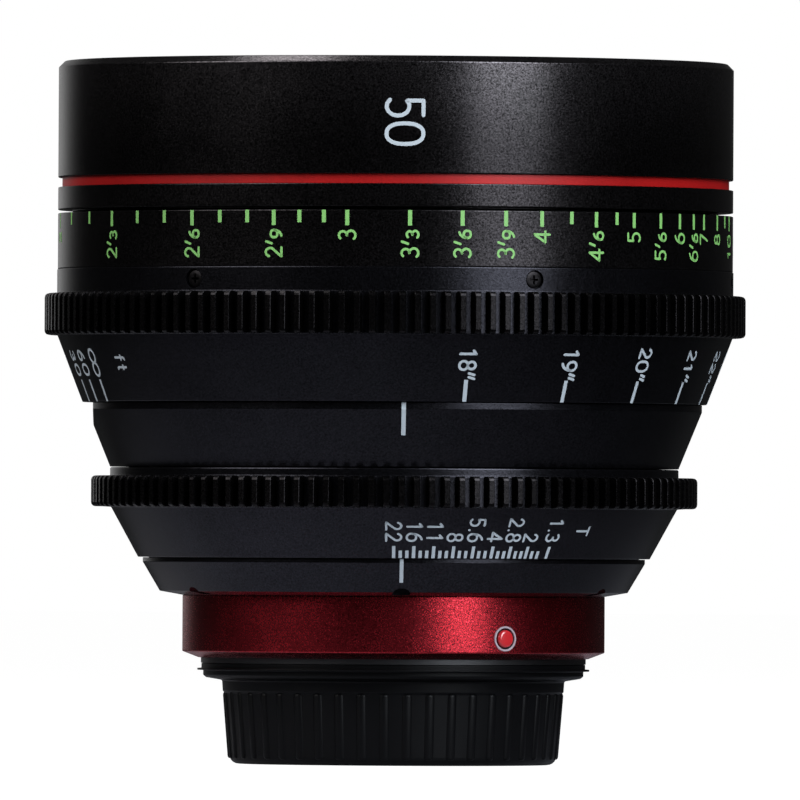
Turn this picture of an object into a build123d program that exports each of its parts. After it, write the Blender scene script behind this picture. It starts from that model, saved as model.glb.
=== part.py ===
from build123d import *
import math
import os

# Cinema prime lens standing on its rear cap, front glass upwards, in millimetres.
# Z is the optical axis and points to the front; the origin is the middle of the cap's underside.
# Angles are in degrees, counted anticlockwise about Z from +X. The index marks face -Y.

# Heights of the visible stack, from the cap's underside to the front rim
cap_depth = 17.0
flange_step = 0.9
mount_ring_height = 10.5
rear_cone_height = 6.1
ring_gap = 0.3
iris_cone_height = 8.5
iris_gear_height = 5.2
iris_neck_height = 1.4
index_barrel_height = 10.4
focus_cone_height = 10.6
focus_land_height = 0.7
focus_gear_height = 7.0
screw_band_height = 4.1
scale_band_height = 9.4
front_gap = 0.25
front_band_height = 4.15
accent_height = 1.65
front_barrel_height = 19.65

# Fits and clearances
seat_gap = 0.02
running_gap = 0.08
free_gap = 0.3
slot_gap = 0.15
overrun = 1.0

# Glass radii, each stepped from the one in front of it
lens_1_radius = 29.0
lens_step_1_2 = 4.0
lens_step_2_3 = 5.0
lens_step_3_5 = 2.5
lens_step_5_7 = 1.5
lens_step_7_8 = 1.0
lens_4_rim = 4.5
lens_5_rim = 3.5

# Walls and steps from the glass out to the barrel's surface
lens_barrel_wall = 7.0
rod_radius = 1.25
rod_side_gap = 0.35
rod_outer_gap = 0.75
bearing_tube_wall = 1.8
main_base_width = 8.6
focus_wall = 7.0
front_wall = 5.0
hood_ledge = 0.5
hood_rim = 1.2
hood_throat_gap = 1.6
accent_inset = 0.7
screw_band_rise = 0.1
focus_cone_foot_wall = 2.7
index_top_step = 1.9
index_foot_wall = 6.65
index_land_height = 1.3
index_flat_depth = 1.1
iris_neck_wall = 6.6
iris_cone_step = 0.2
iris_foot_wall = 1.8
rear_lip_step = 1.0
rear_lip_height = 0.5
rear_cone_taper = 2.9
rear_bevel_height = 0.7
rim_chamfer = 1.05

# Walls and steps from the last glass out to the mount and its cap
rear_barrel_wall = 4.0
rear_barrel_flange_width = 6.0
spigot_gap = 2.5
spigot_wall = 4.45
flange_step_out = 1.55
mount_bevel_width = 0.5
mount_ring_wall = 3.2
mount_ring_inset = 0.2
mount_bevel_height = 0.7
sleeve_step = 1.4
lug_rise = 1.6
mount_screw_inset = 3.3
cap_rim_inset = 0.1
cap_lip_rise = 0.5
cap_collar_inset = 0.3
cap_lug_cover = 1.8
cap_taper = 1.2

# Gears, both of the same small tooth
gear_module = 0.8
focus_gear_rise = 1.4
iris_gear_rise = 2.4
gear_end_round = 0.7
tip_width_share = 0.72
root_width_share = 2.1
tooth_depth_share = 2.25

# Main barrel, helicoid and focus travel
main_barrel_wall = 3.0
main_base_height = 2.5
main_top_reach = 4.25
lens_travel = 7.8
focus_turn = 300.0
helicoid_wall = 3.3
helicoid_margin = 3.25
groove_depth = 1.1
groove_side_margin = 9.0
follower_radius = 1.0
follower_count = 3
thrust_ring_height = 2.2
focus_relief = 2.4
relief_foot = 5.0
relief_height = 7.0
stop_height = 3.0
stop_key_angle = 8.0
stop_key_middle = 90.0
stop_gap_angle = 0.4

# Screws through the screw band
band_screw_count = 6
band_screw_angle = -126.0
band_screw_head_radius = 1.4
band_screw_head_height = 0.9
band_screw_seat_depth = 1.1
band_screw_seat_radius = 1.6
band_screw_shank_radius = 0.8
band_screw_grip = 1.1
band_screw_share = 0.5
recess_width = 0.4
recess_length_share = 1.3
recess_depth = 0.5

# Axial screws inside the barrel
inner_screw_head_radius = 1.6
inner_screw_head_height = 1.2
inner_screw_shank_radius = 0.8
inner_screw_reach = 6.5
barrel_screw_count = 6
tube_screw_count = 4
tube_flange_height = 2.0
tube_flange_width = 5.6

# Iris ring, its bearing tube and the drive rod
iris_relief = 1.2
iris_land_height = 4.0
iris_turn_to_open = 35.3
iris_turn_to_closed = 1.7
rod_angle = 90.0
rod_seat_depth = 4.5
rod_top_margin = 1.4
rod_foot_margin = 0.1
window_margin_angle = 0.8

# Rear cone and mount
notch_radius = 1.2
notch_drop = 0.2
notch_count = 6
index_angle = -88.5
flange_height = 3.0
sleeve_wall = 1.6
sleeve_drop = 4.6
lug_height = 1.8
lug_angle = 40.0
lug_count = 3
mount_screw_count = 4
mount_screw_head_height = 1.0
mount_screw_reach = 7.5
dot_ring_radius = 2.15
dot_radius = 1.5
dot_depth = 1.1
dot_dome = 0.35
dot_angle = -58.0
dot_height = 3.3
baffle_thickness = 1.2
baffle_inset = 1.0
window_side_margin = 6.8
window_end_margin = 11.8
window_corner = 2.0
contact_margin = 2.0
contact_height = 1.6
contact_block_width = 20.0
contact_inset = 0.3
contact_pin_radius = 0.8
contact_pin_rise = 0.3
contact_pin_pitch = 1.85
contact_count = 10

# Front barrel and the hood inside it
hood_thread_depth = 5.0
hood_plate = 1.0
hood_steps = 6

# Moving cell that carries the glass
cell_wall = 2.9
cell_above_pin = 5.0
cell_below_pin = 13.0
web_above_foot = 4.8
web_height = 2.6
collar_height = 2.0
collar_width = 3.0
lock_ring_height = 2.8
lock_ring_width = 3.4
bezel_height = 2.8
bezel_throat_wall = 1.7
bezel_lip = 2.5

# Glass, from the front glass to the rear one, as shares of each element's radius, and the air between
glass_inset = 20.4
lens_1_thickness_share = 0.31
lens_1_front_curve_share = 2.07
lens_1_rear_curve_share = 13.8
air_1_2 = 0.6
lens_2_thickness_share = 0.26
lens_2_front_curve_share = 1.68
lens_2_rear_curve_share = 3.6
air_2_3 = 0.7
lens_3_thickness_share = 0.41
lens_3_front_curve_share = 1.5
lens_3_rear_curve_share = 25
cement = 0.02
lens_4_thickness_share = 0.11
lens_4_rear_curve_share = 1.5
lens_5_thickness_share = 0.126
lens_5_front_curve_share = 1.37
lens_5_rear_curve_share = 17
lens_6_thickness_share = 0.43
lens_6_rear_curve_share = 1.94
air_6_7 = 0.7
lens_7_thickness_share = 0.316
lens_7_front_curve_share = 7.9
lens_7_rear_curve_share = 2.37
air_7_8 = 0.8
lens_8_thickness_share = 0.24
lens_8_front_curve_share = 4
lens_8_rear_curve_share = 15
glass_gap = 0.06
rear_shoulder = 2.0
spacer_wall = 1.7
lens_6_ring_height = 1.6
rear_barrel_flange_height = 1.6
rear_ring_height = 1.8

# Iris blades and cam ring
blade_count = 11
housing_wall = 3.4
cam_ring_width = 7.0
blade_pivot_inset = 7.6
blade_pivot_gap = 1.0
blade_width = 7.4
aperture_step = 0.4
blade_start_angle = -3.0
blade_end_angle = 95.0
blade_thickness = 0.12
blade_pitch = 0.2
blade_boss_radius = 2.0
blade_swing = 37.0
lever_length = 5.0
lever_angle = -60.0
lever_width = 1.8
pivot_pin_radius = 0.5
drive_pin_radius = 0.4
cam_slot_gap = 0.1
cam_points = 9
cam_over_angle = 1.0
cam_ring_height = 1.2
cam_ring_gap = 0.4
fork_width = 5.4
fork_gap = 0.3
fork_root = 0.9
housing_floor = 1.6
blade_floor_gap = 0.2
cover_height = 1.8

# Rear cap
cap_lip_height = 0.3
cap_rim_height = 1.0
cap_collar_height = 1.1
cap_shoulder_height = 0.4
cap_edge_radius = 1.5
cap_wall = 1.5
cap_floor = 1.8
cap_flange_gap = 0.05
cap_bore_gap = 0.3
cap_lug_height = 1.2
cap_lug_width = 1.1
rib_count = 46
rib_radius = 0.95
rib_rise = 0.4
rib_foot = 1.1
rib_top = 11.5

# Radii worked out from the walls
lens_2_radius = lens_1_radius - lens_step_1_2
lens_3_radius = lens_2_radius - lens_step_2_3
lens_5_radius = lens_3_radius - lens_step_3_5
lens_7_radius = lens_5_radius + lens_step_5_7
lens_8_radius = lens_7_radius + lens_step_7_8
lens_4_clear_radius = lens_3_radius - lens_4_rim
lens_5_clear_radius = lens_5_radius - lens_5_rim
lens_barrel_radius = lens_1_radius + lens_barrel_wall
rod_circle_radius = lens_barrel_radius + rod_side_gap + rod_radius
bearing_tube_bore = rod_circle_radius + rod_radius + rod_outer_gap
bearing_tube_radius = bearing_tube_bore + bearing_tube_wall
main_barrel_radius = bearing_tube_radius + main_base_width
barrel_radius = main_barrel_radius + focus_wall
filter_thread_radius = barrel_radius - front_wall
hood_seat_radius = filter_thread_radius - hood_ledge
hood_top_radius = hood_seat_radius - hood_rim
hood_throat_radius = lens_barrel_radius + hood_throat_gap
bezel_mouth_radius = lens_barrel_radius - bezel_lip
focus_cone_foot_radius = main_barrel_radius + focus_cone_foot_wall
index_top_radius = main_barrel_radius + index_top_step
index_foot_radius = bearing_tube_radius + index_foot_wall
iris_neck_radius = bearing_tube_radius + iris_neck_wall
iris_cone_top_radius = iris_neck_radius - iris_cone_step
iris_foot_radius = bearing_tube_radius + iris_foot_wall
rear_lip_radius = bearing_tube_radius + rear_lip_step
rear_cone_foot_radius = rear_lip_radius - rear_cone_taper
rear_barrel_radius = lens_8_radius + rear_barrel_wall
rear_barrel_flange_radius = rear_barrel_radius + rear_barrel_flange_width
spigot_bore_radius = rear_barrel_radius + spigot_gap
spigot_radius = spigot_bore_radius + spigot_wall
flange_radius = spigot_radius + flange_step_out
mount_bevel_radius = flange_radius + mount_bevel_width
mount_ring_radius = flange_radius + mount_ring_wall
rear_bevel_radius = mount_ring_radius - mount_ring_inset
mount_screw_circle = flange_radius - mount_screw_inset
sleeve_radius = rear_barrel_radius + sleeve_step
sleeve_bore = sleeve_radius - sleeve_wall
lug_radius = sleeve_radius + lug_rise
window_width = 2 * (sleeve_bore - window_side_margin)
window_height = 2 * (sleeve_bore - window_end_margin)
contact_block_start = window_height / 2 + contact_margin
cap_rim_radius = flange_radius - cap_rim_inset
cap_lip_radius = cap_rim_radius + cap_lip_rise
cap_collar_radius = cap_rim_radius - cap_collar_inset
cap_body_top_radius = lug_radius + cap_lug_cover
cap_body_foot_radius = cap_body_top_radius - cap_taper
cam_ring_radius = lens_barrel_radius - housing_wall
cam_ring_inner_radius = cam_ring_radius - cam_ring_width
blade_pivot_circle = cam_ring_radius - blade_pivot_inset
blade_outer_radius = blade_pivot_circle - blade_pivot_gap
blade_inner_radius = blade_outer_radius - blade_width
housing_aperture = blade_inner_radius - aperture_step
focus_teeth = round(2 * (barrel_radius + focus_gear_rise) / gear_module)
iris_teeth = round(2 * (iris_neck_radius + iris_gear_rise) / gear_module)

# Glass shapes worked out from the shares
lens_1_thickness = lens_1_radius * lens_1_thickness_share
lens_1_front_curve = lens_1_radius * lens_1_front_curve_share
lens_1_rear_curve = lens_1_radius * lens_1_rear_curve_share
lens_2_thickness = lens_2_radius * lens_2_thickness_share
lens_2_front_curve = lens_2_radius * lens_2_front_curve_share
lens_2_rear_curve = lens_2_radius * lens_2_rear_curve_share
lens_3_thickness = lens_3_radius * lens_3_thickness_share
lens_3_front_curve = lens_3_radius * lens_3_front_curve_share
lens_3_rear_curve = lens_3_radius * lens_3_rear_curve_share
lens_4_thickness = lens_3_radius * lens_4_thickness_share
lens_4_rear_curve = lens_3_radius * lens_4_rear_curve_share
lens_5_thickness = lens_5_radius * lens_5_thickness_share
lens_5_front_curve = lens_5_radius * lens_5_front_curve_share
lens_5_rear_curve = lens_5_radius * lens_5_rear_curve_share
lens_6_thickness = lens_5_radius * lens_6_thickness_share
lens_6_rear_curve = lens_5_radius * lens_6_rear_curve_share
lens_7_thickness = lens_7_radius * lens_7_thickness_share
lens_7_front_curve = lens_7_radius * lens_7_front_curve_share
lens_7_rear_curve = lens_7_radius * lens_7_rear_curve_share
lens_8_thickness = lens_8_radius * lens_8_thickness_share
lens_8_front_curve = lens_8_radius * lens_8_front_curve_share
lens_8_rear_curve = lens_8_radius * lens_8_rear_curve_share

# Levels worked out from the heights
z_flange = cap_depth
z_mount_ring = z_flange + flange_step
z_rear_cone = z_mount_ring + mount_ring_height
z_rear_top = z_rear_cone + rear_cone_height
z_iris = z_rear_top + ring_gap
z_iris_gear = z_iris + iris_cone_height
z_iris_neck = z_iris_gear + iris_gear_height
z_iris_top = z_iris_neck + iris_neck_height
z_index = z_iris_top + ring_gap
z_index_top = z_index + index_barrel_height
z_focus = z_index_top + ring_gap
z_focus_land = z_focus + focus_cone_height
z_focus_gear = z_focus_land + focus_land_height
z_screw_band = z_focus_gear + focus_gear_height
z_scale_band = z_screw_band + screw_band_height
z_scale_top = z_scale_band + scale_band_height
z_front_band = z_scale_top + front_gap
z_accent = z_front_band + front_band_height
z_front = z_accent + accent_height
z_mouth = z_front + front_barrel_height
z_barrel_top = z_front + main_top_reach
z_hood_top = z_mouth - hood_thread_depth

# Helicoid, pins and cell
helicoid_radius = main_barrel_radius + running_gap + helicoid_wall
z_helicoid = z_scale_band - lens_travel / 2 - helicoid_margin
z_helicoid_top = z_scale_band + lens_travel / 2 + helicoid_margin
z_pin = z_scale_band + lens_travel / 2
z_pin_far = z_pin - lens_travel
z_band_screw = z_screw_band + screw_band_height * band_screw_share
cell_radius = main_barrel_radius - main_barrel_wall - running_gap
z_cell = z_pin - cell_below_pin
z_cell_top = z_pin + cell_above_pin
z_web = z_cell + web_above_foot
z_web_top = z_web + web_height

# Glass stack, in the near-focus rest position with the cell forward
z_lens_1 = z_mouth - glass_inset
z_lens_1_rear = z_lens_1 - lens_1_thickness
z_lens_2 = z_lens_1_rear - air_1_2
z_lens_2_rear = z_lens_2 - lens_2_thickness
z_lens_3 = z_lens_2_rear - air_2_3
z_lens_3_rear = z_lens_3 - lens_3_thickness
z_lens_4 = z_lens_3_rear - cement
z_lens_4_rear = z_lens_4 - lens_4_thickness


def sag(curve, radius):
    """Height that a spherical face loses between its middle and a radius."""
    return curve - math.sqrt(curve * curve - radius * radius)


z_lens_4_flat = z_lens_4_rear - sag(lens_4_rear_curve, lens_4_clear_radius)
z_cover_top = z_lens_4_flat - glass_gap
z_cover = z_cover_top - cover_height
z_cam_ring = z_cover - cam_ring_gap - cam_ring_height
z_blade_top = z_cam_ring - cam_ring_gap
z_blades = z_blade_top - blade_pitch * blade_count
z_floor_top = z_blades - blade_floor_gap
z_floor = z_floor_top - housing_floor
z_lens_5_flat = z_floor - rear_shoulder - glass_gap
z_lens_5 = z_lens_5_flat - sag(lens_5_front_curve, lens_5_clear_radius)
z_lens_5_rear = z_lens_5 - lens_5_thickness
z_lens_6 = z_lens_5_rear - cement
z_lens_6_rear = z_lens_6 - lens_6_thickness
z_lens_7 = z_lens_6_rear - air_6_7
z_lens_7_edge = z_lens_7 + sag(lens_7_front_curve, lens_7_radius)
z_lens_7_rear = z_lens_7 - lens_7_thickness
z_lens_8 = z_lens_7_rear - air_7_8
z_lens_8_edge = z_lens_8 - sag(lens_8_front_curve, lens_7_radius)
z_lens_8_rear = z_lens_8 - lens_8_thickness
z_lens_8_seat = z_lens_8_rear + sag(lens_8_rear_curve, lens_8_radius - spacer_wall)
z_rear_barrel = z_lens_8_seat - glass_gap - rear_ring_height
z_lens_1_edge = z_lens_1 - sag(lens_1_front_curve, lens_1_radius)
z_shoulder_1 = z_lens_1_rear - sag(lens_1_rear_curve, lens_1_radius) - glass_gap
z_shoulder_2 = z_lens_2_rear - sag(lens_2_rear_curve, lens_2_radius) - glass_gap
z_bezel_top = z_lens_1 + bezel_height
z_bezel_flange = z_lens_1

z_rod = z_iris_gear + iris_gear_height / 2
z_rod_top = z_cam_ring + cam_ring_height + rod_top_margin
focus_bore = main_barrel_radius + running_gap
z_sleeve = z_flange - sleeve_drop


def turned(points):
    """Solid of revolution about Z from a closed outline of (radius, height) points."""
    corners = [(radius, 0, height) for radius, height in points]
    outline = Polyline(*corners, close=True)
    return revolve(make_face(outline), Axis.Z)


def tube(outer, inner, bottom, top):
    """Plain tube between two heights."""
    return turned([(inner, bottom), (outer, bottom), (outer, top), (inner, top)])


def rod_up(radius, bottom, top):
    """Cylinder along Z between two heights."""
    height = top - bottom
    return Pos(0, 0, bottom + height / 2) * Cylinder(radius, height)


def rod_out(radius, start, end, height):
    """Cylinder that lies along +X from one distance to another, at a height."""
    length = end - start
    return Pos(start + length / 2, 0, height) * Rot(0, 90, 0) * Cylinder(radius, length)


def turned_to(shape, angle):
    """The shape turned about Z by an angle."""
    return Rot(0, 0, angle) * shape


def around(shape, count, start=0.0):
    """Evenly spaced copies about Z, the first turned to the start angle."""
    return [turned_to(shape, start + 360 * i / count) for i in range(count)]


def arc_block(outer, inner, bottom, top, middle, width):
    """Part of a tube that covers an angle about a middle direction."""
    start = math.radians(middle - width / 2)
    end = math.radians(middle + width / 2)
    half = math.radians(middle)
    outside = [(outer * math.cos(a), outer * math.sin(a)) for a in (start, half, end)]
    inside = [(inner * math.cos(a), inner * math.sin(a)) for a in (end, half, start)]
    outline = ThreePointArc(*outside) + Line(outside[2], inside[0])
    outline += ThreePointArc(*inside) + Line(inside[2], outside[0])
    return Pos(0, 0, bottom) * extrude(make_face(outline), top - bottom)


def gear(teeth, bore, bottom, top):
    """Ring of straight teeth with rounded-off ends."""
    pitch_radius = gear_module * teeth / 2
    tip = pitch_radius + gear_module
    root = tip - gear_module * tooth_depth_share
    tip_half = gear_module * tip_width_share / 2 / tip
    root_half = gear_module * root_width_share / 2 / root
    points = []
    for i in range(teeth):
        middle = 2 * math.pi * i / teeth
        for radius, angle in ((root, -root_half), (tip, -tip_half), (tip, tip_half), (root, root_half)):
            points.append((radius * math.cos(middle + angle), radius * math.sin(middle + angle)))
    section = make_face(Polyline(*points, close=True)) - Circle(bore)
    blank = Pos(0, 0, bottom) * extrude(section, top - bottom)
    envelope = turned([
        (bore - overrun, bottom), (tip - gear_end_round, bottom),
        (tip + overrun, bottom + gear_end_round + overrun),
        (tip + overrun, top - gear_end_round - overrun),
        (tip - gear_end_round, top), (bore - overrun, top),
    ])
    return blank & envelope


def cross_screw(head_radius, head_height, shank_radius, reach):
    """Screw that points down -Z with the top of its head at height 0 and a cross recess."""
    head = rod_up(head_radius, -head_height, 0)
    shank = rod_up(shank_radius, -reach, -head_height)
    slot = Box(head_radius * recess_length_share, recess_width, recess_depth * 2)
    return head + shank - slot - Rot(0, 0, 90) * slot


def cross_screw_out(head_radius, head_height, shank_radius, reach, face_radius, height):
    """The same screw lying along +X with its head's face at a radius and height."""
    screw = cross_screw(head_radius, head_height, shank_radius, reach)
    return Pos(face_radius, 0, height) * Rot(0, 90, 0) * screw


# Fixed barrel

def front_barrel():
    """Black front barrel with the filter thread's bore and a chamfered rim."""
    inner = main_barrel_radius + seat_gap
    return turned([
        (inner, z_front), (barrel_radius, z_front), (barrel_radius, z_mouth - rim_chamfer),
        (barrel_radius - rim_chamfer, z_mouth), (filter_thread_radius, z_mouth),
        (filter_thread_radius, z_hood_top), (hood_seat_radius, z_hood_top),
        (hood_seat_radius, z_barrel_top), (inner, z_barrel_top),
    ])


def hood_baffle():
    """Stepped funnel in front of the glass that traps stray light."""
    outer = hood_seat_radius - seat_gap
    rise = (z_hood_top - z_barrel_top - hood_plate) / hood_steps
    step = (hood_top_radius - hood_throat_radius) / hood_steps
    points = [(outer, z_barrel_top), (outer, z_hood_top)]
    for i in range(hood_steps):
        points.append((hood_top_radius - step * i, z_hood_top - rise * i))
        points.append((hood_top_radius - step * i, z_hood_top - rise * (i + 1)))
    points.append((hood_throat_radius, z_barrel_top + hood_plate))
    points.append((hood_throat_radius, z_barrel_top))
    return turned(points)


def accent_ring():
    """Coloured ring, a little inside the barrel's surface."""
    return tube(barrel_radius - accent_inset, main_barrel_radius + seat_gap, z_accent, z_front)


def front_band():
    """Fixed black band above the focus scale."""
    return tube(barrel_radius, main_barrel_radius + seat_gap, z_front_band, z_accent)


def main_barrel():
    """Tube that carries the focus ring outside and the sliding cell inside, with three straight slots."""
    inner = main_barrel_radius - main_barrel_wall
    base_bore = bearing_tube_radius + seat_gap
    z_base = z_index_top - main_base_height
    body = turned([
        (base_bore, z_base), (main_barrel_radius, z_base), (main_barrel_radius, z_barrel_top),
        (inner, z_barrel_top), (inner, z_index_top), (base_bore, z_index_top),
    ])
    low = z_pin_far - follower_radius - free_gap
    high = z_pin + follower_radius + free_gap
    width = 2 * (follower_radius + slot_gap)
    depth = 2 * (main_barrel_wall + overrun)
    slot = Pos(main_barrel_radius, 0, (low + high) / 2) * Box(depth, width, high - low)
    for cut in around(slot, follower_count):
        body -= cut
    hole = rod_up(inner_screw_shank_radius + seat_gap, z_base - overrun, z_index_top + overrun)
    for cut in around(Pos(barrel_screw_circle(), 0, 0) * hole, barrel_screw_count):
        body -= cut
    return body


def barrel_screw_circle():
    """Middle of the flange between the bearing tube and the main barrel's bore."""
    return (bearing_tube_radius + main_barrel_radius - main_barrel_wall) / 2


def front_thrust_ring():
    """Bronze ring that keeps the focus ring from sliding forward."""
    top = z_front_band - seat_gap
    return tube(helicoid_radius - free_gap, main_barrel_radius + seat_gap, top - thrust_ring_height, top)


def focus_stop_key():
    """Block on the main barrel that ends the focus ring's turn."""
    bottom = z_focus + relief_foot
    return arc_block(focus_bore + focus_relief - running_gap - free_gap, main_barrel_radius + seat_gap,
                     bottom, bottom + stop_height, stop_key_middle, stop_key_angle)


def index_barrel():
    """Fixed barrel with the index line between the focus ring and the iris ring."""
    bore = bearing_tube_radius + seat_gap
    z_base = z_index_top - main_base_height
    body = turned([
        (bore, z_index), (index_foot_radius, z_index), (index_top_radius, z_index_top - index_land_height),
        (index_top_radius, z_index_top), (main_barrel_radius + seat_gap, z_index_top),
        (main_barrel_radius + seat_gap, z_base), (bore, z_base),
    ])
    flat = Pos(-index_top_radius + index_flat_depth - index_top_radius / 2, 0, (z_index + z_index_top) / 2)
    body -= flat * Box(index_top_radius, index_top_radius * 2, index_barrel_height + overrun)
    z_hole = z_index_top - inner_screw_reach - free_gap
    hole = rod_up(inner_screw_shank_radius + seat_gap, z_hole, z_index_top)
    for cut in around(Pos(barrel_screw_circle(), 0, 0) * hole, barrel_screw_count):
        body -= cut
    return body


def barrel_screws():
    """Screws that hold the main barrel down on the index barrel."""
    screw = cross_screw(inner_screw_head_radius, inner_screw_head_height, inner_screw_shank_radius,
                        inner_screw_head_height + inner_screw_reach)
    screw = Pos(barrel_screw_circle(), 0, z_index_top + inner_screw_head_height) * screw
    return Compound(children=around(screw, barrel_screw_count))


def tube_screw_circle():
    """Middle of the bearing tube's inner flange."""
    return bearing_tube_bore - tube_flange_width / 2


def iris_bearing_tube():
    """Tube inside the iris ring, with an arc window for the drive arm and a flange at its foot."""
    body = tube(bearing_tube_radius, bearing_tube_bore, z_rear_top, z_index_top)
    body += tube(bearing_tube_bore + bearing_tube_wall / 2, bearing_tube_bore - tube_flange_width,
                 z_rear_top, z_rear_top + tube_flange_height)
    half = math.degrees(math.asin((rod_radius + slot_gap) / bearing_tube_bore)) + window_margin_angle
    first = rod_angle - iris_turn_to_open - half
    last = rod_angle + iris_turn_to_closed + half
    reach = rod_radius + slot_gap
    body -= arc_block(bearing_tube_radius + overrun, bearing_tube_bore - overrun, z_rod - reach,
                      z_rod + reach, (first + last) / 2, last - first)
    hole = rod_up(inner_screw_shank_radius + seat_gap, z_rear_top - overrun,
                  z_rear_top + tube_flange_height + overrun)
    for cut in around(Pos(tube_screw_circle(), 0, 0) * hole, tube_screw_count):
        body -= cut
    return body


def tube_screws():
    """Screws that hold the bearing tube down on the rear cone."""
    screw = cross_screw(inner_screw_head_radius, inner_screw_head_height, inner_screw_shank_radius,
                        inner_screw_head_height + inner_screw_reach)
    screw = Pos(tube_screw_circle(), 0, z_rear_top + tube_flange_height + inner_screw_head_height) * screw
    return Compound(children=around(screw, tube_screw_count))


def rear_cone():
    """Rear cone with a spigot that centres the mount ring, and six notches at its foot."""
    z_foot = z_rear_cone + rear_bevel_height
    z_spigot = z_flange + flange_height
    body = turned([
        (spigot_bore_radius, z_spigot), (spigot_radius, z_spigot), (spigot_radius, z_rear_cone),
        (rear_bevel_radius, z_rear_cone), (rear_cone_foot_radius, z_foot),
        (rear_lip_radius, z_rear_top - rear_lip_height), (rear_lip_radius, z_rear_top),
        (spigot_bore_radius, z_rear_top),
    ])
    notch = rod_out(notch_radius, rear_bevel_radius + notch_radius, rear_lip_radius, z_foot - notch_drop)
    for cut in around(notch, notch_count, index_angle):
        body -= cut
    reach = inner_screw_reach - tube_flange_height + free_gap
    hole = rod_up(inner_screw_shank_radius + seat_gap, z_rear_top - reach, z_rear_top + overrun)
    for cut in around(Pos(tube_screw_circle(), 0, 0) * hole, tube_screw_count):
        body -= cut
    hole = rod_up(inner_screw_shank_radius + seat_gap, z_spigot - overrun,
                  z_flange + mount_screw_reach + free_gap)
    for cut in around(Pos(mount_screw_circle, 0, 0) * hole, mount_screw_count, 45):
        body -= cut
    return body


def mount_ring():
    """Coloured ring clamped between the mount's flange and the rear cone."""
    z_step = z_flange + flange_height
    body = turned([
        (flange_radius + seat_gap, z_mount_ring), (mount_bevel_radius, z_mount_ring),
        (mount_ring_radius, z_mount_ring + mount_bevel_height), (mount_ring_radius, z_rear_cone),
        (spigot_radius + seat_gap, z_rear_cone), (spigot_radius + seat_gap, z_step),
        (flange_radius + seat_gap, z_step),
    ])
    hole = rod_out(dot_ring_radius + seat_gap, mount_ring_radius - dot_depth, mount_ring_radius + overrun,
                   z_mount_ring + dot_height)
    return body - turned_to(hole, dot_angle)


def mount_dot_ring():
    """Pale ring around the mount index dot."""
    start = mount_ring_radius - dot_depth
    body = rod_out(dot_ring_radius, start, mount_ring_radius + overrun, z_mount_ring + dot_height)
    body -= rod_out(dot_radius + seat_gap, start - overrun, mount_ring_radius + 2 * overrun,
                    z_mount_ring + dot_height)
    body &= rod_up(mount_ring_radius + seat_gap, z_mount_ring, z_rear_cone)
    return turned_to(body, dot_angle)


def mount_dot():
    """Domed dot that marks how the mount lines up."""
    start = mount_ring_radius - dot_depth
    body = rod_up(dot_radius, start, mount_ring_radius + dot_dome)
    body = fillet(body.edges().sort_by(Axis.Z)[-1], dot_dome)
    body = Pos(0, 0, z_mount_ring + dot_height) * Rot(0, 90, 0) * body
    return turned_to(body, dot_angle)


def bayonet_mount():
    """Steel flange with a sleeve and three bayonet lugs."""
    body = turned([
        (sleeve_bore, z_sleeve), (sleeve_radius, z_sleeve), (sleeve_radius, z_flange),
        (flange_radius, z_flange), (flange_radius, z_flange + flange_height),
        (sleeve_bore, z_flange + flange_height),
    ])
    root = sleeve_radius - sleeve_wall / 2
    lug = arc_block(lug_radius, root, z_sleeve, z_sleeve + lug_height, 0, lug_angle)
    for piece in around(lug, lug_count):
        body += piece
    hole = rod_up(inner_screw_shank_radius + seat_gap, z_flange, z_flange + flange_height + overrun)
    hole += rod_up(inner_screw_head_radius + seat_gap, z_flange - overrun, z_flange + mount_screw_head_height)
    for cut in around(Pos(mount_screw_circle, 0, 0) * hole, mount_screw_count, 45):
        body -= cut
    return body


def mount_screws():
    """Screws that hold the mount's flange up against the rear cone, heads flush below."""
    screw = cross_screw(inner_screw_head_radius, mount_screw_head_height - seat_gap, inner_screw_shank_radius,
                        mount_screw_reach)
    screw = Pos(mount_screw_circle, 0, z_flange) * Rot(180, 0, 0) * screw
    return Compound(children=around(screw, mount_screw_count, 45))


def rear_baffle():
    """Light mask with a rectangular window, pressed into the mount's sleeve."""
    bottom = z_sleeve + baffle_inset + contact_height
    body = rod_up(sleeve_bore - seat_gap, bottom, bottom + baffle_thickness)
    window = Rectangle(window_height, window_width)
    window = fillet(window.vertices(), window_corner)
    return body - Pos(0, 0, bottom - overrun) * extrude(window, baffle_thickness + 2 * overrun)


def contact_block():
    """Plastic block under the mask that carries the contacts."""
    top = z_sleeve + baffle_inset + contact_height
    body = rod_up(sleeve_bore - contact_inset, top - contact_height, top)
    keep = Pos(-contact_block_start - sleeve_bore / 2, 0, top)
    keep *= Box(sleeve_bore, contact_block_width, sleeve_bore)
    return body & keep


def contact_pins():
    """Row of round contacts that stand a little out of the block."""
    bottom = z_sleeve + baffle_inset
    radius = (contact_block_start + sleeve_bore) / 2
    step = math.degrees(contact_pin_pitch / radius)
    pin = Pos(radius, 0, 0) * rod_up(contact_pin_radius, bottom - contact_pin_rise, bottom)
    first = 180 - step * (contact_count - 1) / 2
    return Compound(children=[turned_to(pin, first + step * i) for i in range(contact_count)])


# Focus ring

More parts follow.
